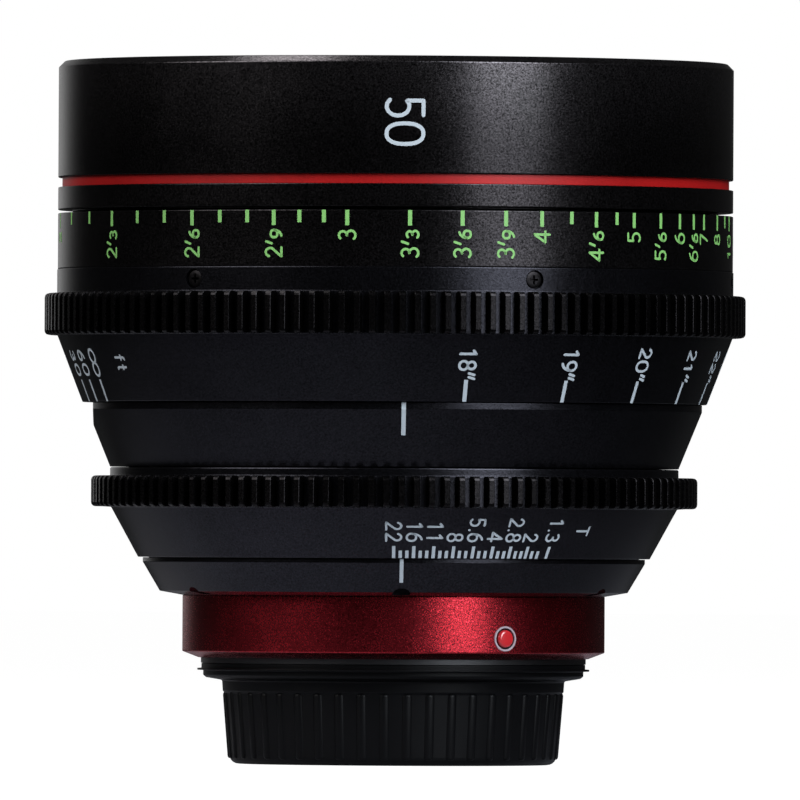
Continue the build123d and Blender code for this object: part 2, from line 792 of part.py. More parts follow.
def focus_ring():
    """Focus ring with its rear cone, gear and screw band, running on the main barrel."""
    z_relief = z_focus + relief_foot
    z_relief_top = z_relief + relief_height
    relief = focus_bore + focus_relief
    bore = helicoid_radius + seat_gap
    gear_root = gear_module * focus_teeth / 2 + gear_module - gear_module * tooth_depth_share
    land = barrel_radius
    bottom = z_helicoid - seat_gap
    body = turned([
        (focus_bore, z_focus), (focus_cone_foot_radius, z_focus), (land, z_focus_land),
        (land, z_focus_gear), (gear_root - running_gap, z_focus_gear),
        (gear_root - running_gap, z_screw_band), (barrel_radius + screw_band_rise, z_screw_band),
        (barrel_radius + screw_band_rise, z_scale_band), (bore, z_scale_band), (bore, bottom),
        (focus_bore, bottom), (focus_bore, z_relief_top), (relief, z_relief_top), (relief, z_relief),
        (focus_bore, z_relief),
    ])
    body += gear(focus_teeth, gear_root - gear_module, z_focus_gear, z_screw_band)
    free_angle = 360 - focus_turn - stop_key_angle - 2 * stop_gap_angle
    middle = stop_key_middle - stop_key_angle / 2 - stop_gap_angle - free_angle / 2
    body += arc_block(relief + seat_gap, focus_bore + free_gap, z_relief, z_relief + stop_height + free_gap,
                      middle, free_angle)
    seat = rod_out(band_screw_seat_radius, barrel_radius - band_screw_seat_depth,
                   barrel_radius + overrun, z_band_screw)
    seat += rod_out(band_screw_shank_radius + seat_gap, bore - overrun, barrel_radius, z_band_screw)
    for cut in around(seat, band_screw_count, band_screw_angle):
        body -= cut
    return body


def focus_scale_band():
    """Band that carries the focus scale, seated on the helicoid ring."""
    return tube(barrel_radius, helicoid_radius + seat_gap, z_scale_band, z_scale_top)


def scale_band_screws():
    """Screws that tie the focus ring to the helicoid ring."""
    face = barrel_radius - band_screw_seat_depth + band_screw_head_height
    reach = face - helicoid_radius + band_screw_grip
    screw = cross_screw_out(band_screw_head_radius, band_screw_head_height, band_screw_shank_radius,
                            reach, face, z_band_screw)
    return Compound(children=around(screw, band_screw_count, band_screw_angle))


def helicoid_ring():
    """Ring with three left-handed helical grooves that drive the cell's pins."""
    body = tube(helicoid_radius, focus_bore, z_helicoid, z_helicoid_top)
    pitch = lens_travel * 360 / focus_turn
    over = pitch * groove_side_margin / 360
    height = lens_travel + 2 * over
    path = Helix(pitch, height, focus_bore, lefthand=True)
    width = 2 * (follower_radius + slot_gap)
    depth = groove_depth + running_gap
    section = Plane(origin=path @ 0, x_dir=(1, 0, 0), z_dir=path % 0)
    profile = section * Rectangle(2 * depth, width)
    groove = sweep(profile, path, is_frenet=True)
    groove = Pos(0, 0, z_pin_far - over) * turned_to(groove, focus_turn + groove_side_margin)
    for cut in around(groove, follower_count):
        body -= cut
    hole = rod_out(band_screw_shank_radius + seat_gap, helicoid_radius - band_screw_grip - seat_gap,
                   helicoid_radius + overrun, z_band_screw)
    for cut in around(hole, band_screw_count, band_screw_angle):
        body -= cut
    return body


# Moving cell with its glass

def focus_cell():
    """Sliding tube with an inner web that holds the front lens barrel."""
    body = tube(cell_radius, cell_radius - cell_wall, z_cell, z_cell_top)
    body += tube(cell_radius - cell_wall / 2, lens_barrel_radius + seat_gap, z_web, z_web_top)
    inner = cell_radius - cell_wall
    hole = rod_out(follower_radius + seat_gap, inner - overrun, cell_radius + overrun, z_pin)
    for cut in around(hole, follower_count):
        body -= cut
    return body


def follower_pins():
    """Pins fixed in the cell that pass the straight slots and end in the helical grooves."""
    end = focus_bore + groove_depth - running_gap
    pin = rod_out(follower_radius, cell_radius - cell_wall, end, z_pin)
    return Compound(children=around(pin, follower_count))


def front_lens_barrel():
    """Stepped barrel for the four front elements, with a collar that rests on the cell's web."""
    outer = lens_barrel_radius
    bore_1 = lens_1_radius + seat_gap
    bore_2 = lens_2_radius + seat_gap
    bore_3 = lens_3_radius + seat_gap
    return turned([
        (lens_4_clear_radius, z_cover), (outer, z_cover), (outer, z_web_top),
        (outer + collar_width, z_web_top), (outer + collar_width, z_web_top + collar_height),
        (outer, z_web_top + collar_height), (outer, z_bezel_flange), (bore_1, z_bezel_flange),
        (bore_1, z_shoulder_1), (bore_2, z_shoulder_1), (bore_2, z_shoulder_2), (bore_3, z_shoulder_2),
        (bore_3, z_cover_top), (lens_4_clear_radius, z_cover_top),
    ])


def cell_lock_ring():
    """Nut behind the web that clamps the front lens barrel."""
    return tube(lens_barrel_radius + lock_ring_width, lens_barrel_radius + seat_gap,
                z_web - lock_ring_height, z_web)


def front_bezel():
    """Screwed-in ring with a flared dark face that holds the front glass."""
    throat = lens_1_radius - bezel_throat_wall
    z_throat = z_lens_1 - sag(lens_1_front_curve, throat) + glass_gap
    z_rim = z_lens_1_edge + glass_gap
    outer = lens_1_radius - seat_gap
    return turned([
        (throat, z_throat), (outer, z_rim), (outer, z_bezel_flange), (lens_barrel_radius, z_bezel_flange),
        (lens_barrel_radius, z_bezel_top), (bezel_mouth_radius, z_bezel_top),
    ])


def element(radius, z_top, top_curve, z_bottom, bottom_curve, top_clear=0, bottom_clear=0):
    """Glass element between two spherical faces; past a clear radius a face goes on flat."""
    top_reach = top_clear or radius
    bottom_reach = bottom_clear or radius

    def face_height(z_vertex, curve, at):
        side = 1 if curve > 0 else -1
        return z_vertex - side * sag(abs(curve), at)

    top_edge = face_height(z_top, top_curve, top_reach)
    bottom_edge = face_height(z_bottom, bottom_curve, bottom_reach)
    bottom_middle = (bottom_reach / 2, 0, face_height(z_bottom, bottom_curve, bottom_reach / 2))
    top_middle = (top_reach / 2, 0, face_height(z_top, top_curve, top_reach / 2))
    outline = ThreePointArc((0, 0, z_bottom), bottom_middle, (bottom_reach, 0, bottom_edge))
    if bottom_reach < radius:
        outline += Line((bottom_reach, 0, bottom_edge), (radius, 0, bottom_edge))
    outline += Line((radius, 0, bottom_edge), (radius, 0, top_edge))
    if top_reach < radius:
        outline += Line((radius, 0, top_edge), (top_reach, 0, top_edge))
    outline += ThreePointArc((top_reach, 0, top_edge), top_middle, (0, 0, z_top))
    outline += Line((0, 0, z_top), (0, 0, z_bottom))
    return revolve(make_face(outline), Axis.Z)


def lens_1():
    return element(lens_1_radius, z_lens_1, lens_1_front_curve, z_lens_1_rear, lens_1_rear_curve)


def lens_2():
    return element(lens_2_radius, z_lens_2, lens_2_front_curve, z_lens_2_rear, lens_2_rear_curve)


def lens_3():
    return element(lens_3_radius, z_lens_3, lens_3_front_curve, z_lens_3_rear, lens_3_rear_curve)


def lens_4():
    return element(lens_3_radius, z_lens_4, lens_3_rear_curve, z_lens_4_rear, lens_4_rear_curve,
                   bottom_clear=lens_4_clear_radius)


def lens_5():
    return element(lens_5_radius, z_lens_5, -lens_5_front_curve, z_lens_5_rear, lens_5_rear_curve,
                   top_clear=lens_5_clear_radius)


def lens_6():
    return element(lens_5_radius, z_lens_6, lens_5_rear_curve, z_lens_6_rear, -lens_6_rear_curve)


def lens_7():
    return element(lens_7_radius, z_lens_7, -lens_7_front_curve, z_lens_7_rear, -lens_7_rear_curve)


def lens_8():
    return element(lens_8_radius, z_lens_8, lens_8_front_curve, z_lens_8_rear, -lens_8_rear_curve)


def front_spacer():
    """Spacer between the first two elements."""
    return tube(lens_2_radius, lens_2_radius - spacer_wall,
                z_lens_2 - sag(lens_2_front_curve, lens_2_radius - spacer_wall) + glass_gap, z_shoulder_1)


def middle_spacer():
    """Spacer between the second element and the cemented pair."""
    return tube(lens_3_radius, lens_3_radius - spacer_wall,
                z_lens_3 - sag(lens_3_front_curve, lens_3_radius - spacer_wall) + glass_gap, z_shoulder_2)


def rear_lens_barrel():
    """Stepped barrel for the four rear elements, with a flange under the iris housing."""
    bore_5 = lens_5_radius + seat_gap
    bore_7 = lens_7_radius + seat_gap
    bore_8 = lens_8_radius + seat_gap
    z_step_5 = z_lens_5_flat + glass_gap
    z_step_7 = z_lens_7_edge + glass_gap
    z_step_8 = z_lens_8_edge + glass_gap
    return turned([
        (bore_8, z_rear_barrel), (rear_barrel_radius, z_rear_barrel),
        (rear_barrel_radius, z_floor - rear_barrel_flange_height),
        (rear_barrel_flange_radius, z_floor - rear_barrel_flange_height),
        (rear_barrel_flange_radius, z_floor), (lens_5_clear_radius, z_floor), (lens_5_clear_radius, z_step_5),
        (bore_5, z_step_5), (bore_5, z_step_7), (bore_7, z_step_7), (bore_7, z_step_8), (bore_8, z_step_8),
    ])


def lens_6_ring():
    """Threaded ring that holds the rear cemented pair."""
    top = z_lens_6_rear + sag(lens_6_rear_curve, lens_5_radius - spacer_wall) - glass_gap
    return tube(lens_5_radius, lens_5_radius - spacer_wall, top - lens_6_ring_height, top)


def rear_spacer():
    """Spacer between the last two elements."""
    inner = lens_7_radius - spacer_wall
    top = z_lens_7_rear + sag(lens_7_rear_curve, inner)
    bottom = z_lens_8 - sag(lens_8_front_curve, inner)
    return tube(lens_7_radius, inner, bottom + glass_gap, top - glass_gap)


def rear_lock_ring():
    """Threaded ring that holds the last element."""
    return tube(lens_8_radius, lens_8_radius - spacer_wall, z_rear_barrel, z_rear_barrel + rear_ring_height)


# Iris

def iris_housing():
    """Cup that carries the blades, with a hole for each pivot and a window for the cam ring's fork."""
    inner = cam_ring_radius + running_gap
    body = turned([
        (housing_aperture, z_floor), (lens_barrel_radius, z_floor), (lens_barrel_radius, z_cover),
        (inner, z_cover), (inner, z_floor_top), (housing_aperture, z_floor_top),
    ])
    hole = rod_up(pivot_pin_radius + running_gap, z_floor - overrun, z_floor_top + overrun)
    for cut in around(Pos(blade_pivot_circle, 0, 0) * hole, blade_count):
        body -= cut
    half = math.degrees(math.asin((fork_width / 2 + free_gap) / inner)) + window_margin_angle
    first = rod_angle - iris_turn_to_open - half
    last = rod_angle + iris_turn_to_closed + half
    window = arc_block(lens_barrel_radius + overrun, inner - overrun, z_blade_top, z_cover + overrun,
                       (first + last) / 2, last - first)
    return body - window


def drive_pin_place(swing):
    """Radius and angle of a blade's drive pin for a swing about its pivot."""
    angle = math.radians(lever_angle + swing)
    x = blade_pivot_circle + lever_length * math.cos(angle)
    y = lever_length * math.sin(angle)
    return math.hypot(x, y), math.degrees(math.atan2(y, x))


def blade_section():
    """Flat outline of one open blade whose pivot lies on +X."""
    start = math.radians(blade_start_angle)
    end = math.radians(blade_end_angle)
    middle = (start + end) / 2
    outer, inner = blade_outer_radius, blade_inner_radius
    outside = [(outer * math.cos(a), outer * math.sin(a)) for a in (start, middle, end)]
    inside = [(inner * math.cos(a), inner * math.sin(a)) for a in (end, middle, start)]
    outline = ThreePointArc(*outside) + Line(outside[2], inside[0])
    outline += ThreePointArc(*inside) + Line(inside[2], outside[0])
    section = make_face(outline)
    pivot = Pos(blade_pivot_circle, 0, 0)
    section += pivot * Circle(blade_boss_radius)
    lever = Pos(lever_length / 2, 0, 0) * SlotCenterToCenter(lever_length, lever_width)
    section += pivot * Rot(0, 0, lever_angle) * lever
    return section


def iris_blade(place):
    """One blade with a pivot pin below it and a drive pin above it, in its nearly closed rest place."""
    swing = blade_swing - iris_turn_to_closed
    level = z_blades + blade_pitch * place
    body = Pos(0, 0, level) * extrude(blade_section(), blade_thickness)
    body += Pos(blade_pivot_circle, 0, 0) * rod_up(pivot_pin_radius, z_floor + blade_floor_gap, level)
    lever = math.radians(lever_angle)
    x = blade_pivot_circle + lever_length * math.cos(lever)
    y = lever_length * math.sin(lever)
    body += Pos(x, y, 0) * rod_up(drive_pin_radius, level + blade_thickness, z_cam_ring + cam_ring_height)
    pivot = Pos(blade_pivot_circle, 0, 0)
    body = pivot * Rot(0, 0, swing) * Pos(-blade_pivot_circle, 0, 0) * body
    return turned_to(body, 360 * place / blade_count)


def cam_slot():
    """Curved slot that a drive pin follows while the ring and the blade turn by the same angle."""
    half = drive_pin_radius + cam_slot_gap
    rest = blade_swing - iris_turn_to_closed
    path = []
    for i in range(cam_points):
        swing = -cam_over_angle + (blade_swing + 2 * cam_over_angle) * i / (cam_points - 1)
        radius, angle = drive_pin_place(swing)
        angle = math.radians(angle - (swing - rest))
        path.append((radius * math.cos(angle), radius * math.sin(angle)))
    left, right = [], []
    for i in range(cam_points):
        before = path[max(i - 1, 0)]
        after = path[min(i + 1, cam_points - 1)]
        dx, dy = after[0] - before[0], after[1] - before[1]
        length = math.hypot(dx, dy)
        left.append((path[i][0] - dy / length * half, path[i][1] + dx / length * half))
        right.append((path[i][0] + dy / length * half, path[i][1] - dx / length * half))
    outline = Spline(*left) + Line(left[-1], right[-1]) + Spline(*reversed(right)) + Line(right[0], left[0])
    section = make_face(outline) + Pos(*path[0]) * Circle(half) + Pos(*path[-1]) * Circle(half)
    return Pos(0, 0, z_cam_ring - overrun) * extrude(section, cam_ring_height + 2 * overrun)


def iris_cam_ring():
    """Ring with a curved slot for each blade and a fork that the drive rod turns."""
    body = tube(cam_ring_radius, cam_ring_inner_radius, z_cam_ring, z_cam_ring + cam_ring_height)
    fork_end = bearing_tube_bore - fork_gap
    fork_start = cam_ring_radius - fork_root
    middle = z_cam_ring + cam_ring_height / 2
    fork = Box(fork_end - fork_start, fork_width, cam_ring_height)
    fork = Pos((fork_start + fork_end) / 2, 0, middle) * fork
    fork -= Pos(rod_circle_radius, 0, middle) * Cylinder(rod_radius + running_gap, cam_ring_height + overrun)
    slot = Pos(rod_circle_radius + rod_circle_radius / 2, 0, middle)
    fork -= slot * Box(rod_circle_radius, 2 * (rod_radius + running_gap), cam_ring_height + overrun)
    body += turned_to(fork, rod_angle)
    cut = cam_slot()
    for i in range(blade_count):
        body -= turned_to(cut, 360 * i / blade_count)
    return body


def iris_ring():
    """Iris ring with its gear and rear cone, running on the bearing tube."""
    bore = bearing_tube_radius + running_gap
    relief = bore + iris_relief
    gear_root = gear_module * iris_teeth / 2 + gear_module - gear_module * tooth_depth_share
    inner = gear_root - running_gap
    body = turned([
        (bore, z_iris), (iris_foot_radius, z_iris), (iris_cone_top_radius, z_iris_gear), (inner, z_iris_gear),
        (inner, z_iris_neck), (iris_neck_radius, z_iris_neck), (iris_neck_radius, z_iris_top),
        (bore, z_iris_top), (bore, z_iris_top - iris_land_height), (relief, z_iris_top - iris_land_height),
        (relief, z_iris + iris_land_height), (bore, z_iris + iris_land_height),
    ])
    body += gear(iris_teeth, gear_root - gear_module, z_iris_gear, z_iris_neck)
    hole = rod_out(rod_radius + seat_gap, bore - overrun, bearing_tube_radius + rod_seat_depth, z_rod)
    return body - turned_to(hole, rod_angle)


def iris_drive_rod():
    """Arm fixed in the iris ring that turns up into a long rod, so the cell can slide along it."""
    body = rod_out(rod_radius, rod_circle_radius, bearing_tube_radius + rod_seat_depth - seat_gap, z_rod)
    body += Pos(rod_circle_radius, 0, 0) * rod_up(rod_radius, z_rod - rod_radius - rod_foot_margin, z_rod_top)
    return turned_to(body, rod_angle)


# Rear cap

def rear_cap():
    """Ribbed rear cap with a thin lip and three inner lugs, drawn in its released place."""
    z_top = z_flange - cap_flange_gap
    z_lip = z_top - cap_rim_height
    z_collar = z_lip - cap_lip_height
    z_under = z_collar - cap_collar_height
    z_body = z_under - cap_shoulder_height
    bore = lug_radius + cap_bore_gap
    foot = cap_body_foot_radius
    round_share = 1 - math.sqrt(0.5)
    body = turned([
        (0, 0), (foot - cap_edge_radius, 0),
        (foot - cap_edge_radius * round_share, cap_edge_radius * round_share), (foot, cap_edge_radius),
        (cap_body_top_radius, z_body), (cap_collar_radius - cap_shoulder_height, z_under),
        (cap_collar_radius, z_under + cap_shoulder_height), (cap_collar_radius, z_collar),
        (cap_lip_radius, z_collar), (cap_lip_radius, z_lip), (cap_rim_radius, z_lip), (cap_rim_radius, z_top),
        (bore, z_top), (bore, z_sleeve - free_gap),
        (foot - cap_wall, z_sleeve - free_gap - cap_shoulder_height),
        (foot - cap_wall, cap_floor), (0, cap_floor),
    ])
    lean = math.degrees(math.atan2(cap_body_top_radius - foot, z_body - cap_edge_radius))
    length = rib_top - rib_foot - 2 * rib_radius
    middle = (rib_top + rib_foot) / 2
    climb_share = (middle - cap_edge_radius) / (z_body - cap_edge_radius)
    middle_radius = foot + (cap_body_top_radius - foot) * climb_share
    rib = Cylinder(rib_radius, length) + Pos(0, 0, length / 2) * Sphere(rib_radius)
    rib += Pos(0, 0, -length / 2) * Sphere(rib_radius)
    rib = Pos(middle_radius + rib_rise - rib_radius, 0, middle) * Rot(0, lean, 0) * rib
    body = body.fuse(*around(rib, rib_count))
    lug_top = z_sleeve + lug_height + running_gap
    lug = arc_block(bore + cap_wall / 2, bore - cap_lug_width, lug_top, lug_top + cap_lug_height,
                    180 / lug_count, lug_angle)
    for piece in around(lug, lug_count):
        body += piece
    return body


PIECES = {
    "front_barrel": front_barrel, "hood_baffle": hood_baffle, "accent_ring": accent_ring,
    "front_band": front_band, "main_barrel": main_barrel, "front_thrust_ring": front_thrust_ring,
    "focus_stop_key": focus_stop_key, "index_barrel": index_barrel, "barrel_screws": barrel_screws,
    "iris_bearing_tube": iris_bearing_tube, "tube_screws": tube_screws, "rear_cone": rear_cone,
    "mount_ring": mount_ring, "mount_dot_ring": mount_dot_ring, "mount_dot": mount_dot,
    "bayonet_mount": bayonet_mount, "mount_screws": mount_screws, "rear_baffle": rear_baffle,
    "contact_block": contact_block, "contact_pins": contact_pins, "focus_ring": focus_ring,
    "focus_scale_band": focus_scale_band, "scale_band_screws": scale_band_screws,
    "helicoid_ring": helicoid_ring, "focus_cell": focus_cell, "follower_pins": follower_pins,
    "front_lens_barrel": front_lens_barrel, "cell_lock_ring": cell_lock_ring, "front_bezel": front_bezel,
    "lens_1": lens_1, "lens_2": lens_2, "lens_3": lens_3, "lens_4": lens_4, "lens_5": lens_5,
    "lens_6": lens_6, "lens_7": lens_7, "lens_8": lens_8, "front_spacer": front_spacer,
    "middle_spacer": middle_spacer, "rear_lens_barrel": rear_lens_barrel, "lens_6_ring": lens_6_ring,
    "rear_spacer": rear_spacer, "rear_lock_ring": rear_lock_ring, "iris_housing": iris_housing,
    "iris_cam_ring": iris_cam_ring, "iris_ring": iris_ring, "iris_drive_rod": iris_drive_rod,
    "rear_cap": rear_cap,
}

os.makedirs("parts", exist_ok=True)
for name, make in PIECES.items():
    export_step(make(), f"parts/{name}.step")
for place in range(blade_count):
    export_step(iris_blade(place), f"parts/iris_blade_{place + 1}.step")
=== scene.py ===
import math
from collections import namedtuple
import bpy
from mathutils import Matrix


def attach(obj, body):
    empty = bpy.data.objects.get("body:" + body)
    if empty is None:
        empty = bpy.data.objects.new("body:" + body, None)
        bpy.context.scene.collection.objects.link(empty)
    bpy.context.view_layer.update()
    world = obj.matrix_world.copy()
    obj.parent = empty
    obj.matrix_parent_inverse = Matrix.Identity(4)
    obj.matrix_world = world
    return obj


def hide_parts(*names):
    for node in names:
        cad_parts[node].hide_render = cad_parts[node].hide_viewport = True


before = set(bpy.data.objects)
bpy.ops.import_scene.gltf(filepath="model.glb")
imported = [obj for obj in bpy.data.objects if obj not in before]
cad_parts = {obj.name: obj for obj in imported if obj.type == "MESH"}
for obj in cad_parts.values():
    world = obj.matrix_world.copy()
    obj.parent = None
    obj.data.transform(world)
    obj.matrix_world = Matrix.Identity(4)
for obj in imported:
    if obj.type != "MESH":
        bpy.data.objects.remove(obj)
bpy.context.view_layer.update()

from types import SimpleNamespace

import bmesh
import bpy
from bpy.props import FloatProperty, FloatVectorProperty, PointerProperty
from bpy.types import Operator, Panel, PropertyGroup
from mathutils import Matrix, Vector

bl_info = {
    "name": "Cinema prime lens",
    "version": (1, 0, 0),
    "blender": (4, 5, 0),
    "location": "3D View > Sidebar > Lens",
    "description": "Finished pieces, scales, finishes and studio of a cinema prime lens",
    "category": "Object",
}

MM = 0.001

TURN_STEPS = 288
SMOOTH_ANGLE = math.radians(32)
TOOL_SPARE = 1.5
TOOTH_DEPTH = 2.25
TOOTH_SUNK = 0.1

HOOD_STEPS = 6
FOCUS_TEETH = 146
IRIS_TEETH = 126
BAND_SCREWS = 6
NOTCHES = 6
CAP_RIBS = 46

SCREW_AZIMUTH = 24.0
NOTCH_AZIMUTH = 1.95
DOT_AZIMUTH = 31.7
NUMBER_AZIMUTH = 1.5
INDEX_AZIMUTH = 1.7
REAR_INDEX_AZIMUTH = 1.8

Lettering = namedtuple("Lettering", "height width pitch line")
FRONT_NUMBER = Lettering(6.8, 3.65, 4.15, 0.66)
INCH_LABELS = Lettering(3.2, 1.98, 2.17, 0.46)
FAR_LABELS = Lettering(3.2, 2.05, 2.4, 0.46)
UNIT_LABEL = Lettering(3.0, 1.6, 2.1, 0.42)
GREEN_LABELS = Lettering(3.2, 1.9, 2.16, 0.41)
STOP_LABELS = Lettering(2.9, 1.74, 2.13, 0.38)
STOP_LETTER = Lettering(2.9, 1.9, 2.0, 0.38)

NUMBER_END = 103.3
INDEX_TOP, INDEX_FOOT = 60.75, 55.7
REAR_INDEX_TOP, REAR_INDEX_FOOT = 34.7, 31.3
WHITE_TICK_TOP, WHITE_TICK_FOOT = 64.55, 60.92
INCH_LABEL_END, FAR_LABEL_END = 64.5, 65.15
WHITE_INFINITY, WHITE_INFINITY_SIZE = 67.35, 4.9
UNIT_END, UNIT_TURN = 65.9, 9.9
GREEN_TICK_TOP, GREEN_TICK_FOOT, GREEN_SHORT_FOOT = 92.66, 90.1, 90.58
GREEN_LABEL_END = 89.5
GREEN_INFINITY, GREEN_INFINITY_SIZE, GREEN_INFINITY_LINE = 87.0, 4.4, 0.42
STOP_TOP, STOP_THIRD_TOP, STOP_FOOT = 36.85, 36.1, 34.86
STOP_LABEL_END = 37.55
STOP_LETTER_END, STOP_LETTER_AZIMUTH = 38.65, 43.6

NEAR_OFFSET = 4.35
WHITE_FAR, WHITE_TRAVEL = 293.89, 3838.4
GREEN_FAR, GREEN_TRAVEL = 113.42, 3845.7
STOP_STEP = 4.35

# Foot and rise of the painted highlight that lightens a colour towards the front barrel's rim.
PAINTED_HIGHLIGHT_FOOT, PAINTED_HIGHLIGHT_RISE = 102.0 * MM, 14.0 * MM


def length(name, description, value):
    """A size in metres, given here in millimetres."""
    return FloatProperty(name=name, description=description, default=value * MM, unit="LENGTH", precision=5)


def colour(name, description, value):
    """A plain colour."""
    return FloatVectorProperty(name=name, description=description, default=value, size=3, subtype="COLOR",
                               min=0.0, max=1.0)


class LensSizes(PropertyGroup):
    """Sizes of the finished surfaces that the frame doesn't give."""

    edge_round: length("Edge round", "Rounding of turned edges", 0.16)
    clearance: length("Clearance", "Gap between a piece and the one that holds it", 0.02)
    turning_gap: length("Turning gap", "Gap between a fixed piece and a ring that turns beside it", 0.08)

    rim_round: length("Rim round", "Chamfer of the front rim", 1.05)
    thread_radius: length("Thread radius", "Inner radius of the filter thread", 52.0)
    thread_pitch: length("Thread pitch", "Pitch of the filter thread", 1.0)
    thread_depth: length("Thread depth", "Depth of the filter thread", 0.45)
    thread_start: length("Thread start", "Plain bore above the filter thread", 0.5)
    hood_mouth: length("Hood mouth", "Radius of the light trap's widest step", 50.3)
    hood_wall: length("Hood wall", "Thickness of the light trap's lower edge", 1.0)
    brim_radius: length("Brim radius", "Inner radius of the bezel's flat brim", 33.5)
    neck_radius: length("Neck radius", "Radius where the bezel's flare meets its throat", 28.4)
    neck_rise: length("Neck rise", "Height of the neck above the lens barrel's end", 0.05)
    throat_rise: length("Throat rise", "Height of the bezel's inner edge above its foot", 0.88)
    groove_pitch: length("Groove pitch", "Pitch of the light-trap grooves", 0.75)
    groove_depth: length("Groove depth", "Depth of the light-trap grooves", 0.3)
    groove_start: length("Groove start", "Plain strip between the brim and the first groove", 0.6)
    groove_end: length("Groove end", "Plain strip between the last groove and the neck", 1.0)

    band_gap: length("Band gap", "Gap under the front band, as seen", 0.57)
    inner_gap: length("Inner gap", "Gap under the front band, further in", 0.3)
    gap_radius: length("Gap radius", "Radius of the bottom of the gap under the front band", 54.6)

    gear_module: length("Gear module", "Size of the gear teeth", 0.8)
    gear_ledge: length("Gear ledge", "Height between a cone and the foot of its gear", 0.1)
    tooth_tip: length("Tooth tip", "Width of a tooth at its tip", 0.95)
    tooth_root: length("Tooth root", "Width of a tooth at its root", 1.62)
    tooth_end_round: length("Tooth end", "Rounding of the ends of the teeth", 0.7)
    tip_inset: length("Tip inset", "How far the tooth tips stay inside the frame's box", 0.004)

    focus_gear_foot: length("Focus gear foot", "Lower end of the focus gear", 72.2)
    focus_gear_top: length("Focus gear top", "Upper end of the focus gear", 79.2)
    focus_gear_root: length("Focus gear root", "Radius between the focus gear's teeth", 57.4)
    focus_cone_foot: length("Focus cone foot", "Radius of the focus ring's lower end", 52.7)
    screw_band: length("Screw band", "Radius of the focus ring above its gear", 57.1)
    screw_height: length("Screw height", "Height of the band screws", 81.25)
    screw_seat: length("Screw seat", "Radius of a screw's recess", 1.6)
    seat_depth: length("Seat depth", "Depth of a screw's recess", 2.0)
    screw_radius: length("Screw radius", "Radius of a band screw's head", 1.4)
    screw_foot: length("Screw foot", "Distance of a band screw's inner end from the axis", 53.6)
    screw_sunk: length("Screw sunk", "How far a screw's head lies under the band's surface", 0.25)
    slot_length: length("Slot length", "Length of the cross in a screw's head", 1.5)
    slot_width: length("Slot width", "Width of the cross in a screw's head", 0.36)
    slot_depth: length("Slot depth", "Depth of the cross in a screw's head", 1.05)

    waist_radius: length("Waist radius", "Radius where the index barrel meets the iris ring", 48.0)
    waist_gap: length("Waist gap", "Gap between the index barrel and the iris ring", 0.12)
    index_step: length("Index step", "Radius of the step under the index barrel", 46.0)
    index_corner: length("Index corner", "Height of the index barrel's upper corner", 59.62)
    index_mark_foot: length("Index mark foot", "Radius of the index barrel at its foot", 48.08)
    index_floor: length("Index floor", "Height of the shelf inside the index barrel", 55.0)
    flat_distance: length("Flat distance", "Distance of the index barrel's flat from the axis", 50.8)

    iris_gear_foot: length("Iris gear foot", "Lower end of the iris gear", 43.3)
    iris_gear_top: length("Iris gear top", "Upper end of the iris gear", 48.5)
    iris_gear_root: length("Iris gear root", "Radius between the iris gear's teeth", 49.4)
    iris_cone_foot: length("Iris cone foot", "Radius of the iris ring's lower end", 43.2)
    iris_cone_top: length("Iris cone top", "Radius of the iris ring under its gear", 47.8)

    rear_foot: length("Rear foot", "Radius of the rear cone's lower end", 35.5)
    rear_knee: length("Rear knee", "Radius where the rear cone steepens", 39.5)
    rear_knee_height: length("Rear knee height", "Height where the rear cone steepens", 29.1)
    rear_corner: length("Rear corner", "Height of the rear cone's upper corner", 34.0)
    rear_bore: length("Rear bore", "Radius of the recess in the rear cone's top", 41.6)
    notch_radius: length("Notch radius", "Radius of the rear cone's round notches", 1.5)
    notch_foot: length("Notch foot", "Distance of a notch's inner end from the axis", 36.7)
    notch_height: length("Notch height", "Height of the notches", 28.75)
    mount_radius: length("Mount radius", "Outer radius of the red mount ring", 35.65)
    mount_corner: length("Mount corner", "Height of the mount ring's lower corner", 18.95)
    mount_face: length("Mount face", "Outer radius of the mount ring's lower face", 32.9)
    mount_lip: length("Mount lip", "Thickness of the mount ring's lower lip", 1.0)
    dot_height: length("Dot height", "Height of the mount dot", 21.4)
    dot_floor: length("Dot floor", "Distance of the dot's inner end from the axis", 34.3)
    dot_top: length("Dot top", "Distance of the dot's crown from the axis", 36.1)
    dot_radius: length("Dot radius", "Radius of the mount dot", 1.5)
    dot_ring_bore: length("Dot ring bore", "Inner radius of the pale ring", 1.78)
    dot_ring_radius: length("Dot ring radius", "Outer radius of the pale ring", 2.12)
    dot_ring_top: length("Dot ring top", "Distance of the pale ring's face from the axis", 35.72)
    dot_seat_top: length("Dot seat top", "Distance of the seat's face from the axis", 35.5)

    cap_foot: length("Cap foot", "Radius of the cap's underside", 27.5)
    cap_grip: length("Cap grip", "Radius of the cap at the top of its ribs", 28.45)
    cap_grip_height: length("Cap grip height", "Height of the top of the ribs", 11.9)
    cap_wall: length("Cap wall", "Thickness of the cap's floor", 1.6)
    cap_bore: length("Cap bore", "Inner radius of the cap's grip", 25.8)
    cap_mouth: length("Cap mouth", "Inner radius of the cap's collar", 27.3)
    cap_flange: length("Cap flange", "Radius of the cap's flange", 32.1)
    cap_lip: length("Cap lip", "Radius of the cap's thin lip", 33.1)
    cap_rim: length("Cap rim", "Radius of the cap's upper rim", 32.4)
    rib_radius: length("Rib radius", "Radius of the bar that each rib starts from", 0.95)
    rib_length: length("Rib length", "Length of a rib", 11.2)
    rib_height: length("Rib height", "Height of a rib's middle", 6.5)
    rib_distance: length("Rib distance", "Distance of a rib's middle from the axis", 27.76)

    mark_proud: length("Mark height", "How far the paint of a mark stands out", 0.02)
    tick_width: length("Tick width", "Width of a scale tick", 0.68)
    stop_width: length("Stop width", "Width of a tick of the T scale", 0.56)
    index_width: length("Index width", "Width of the index lines", 0.72)


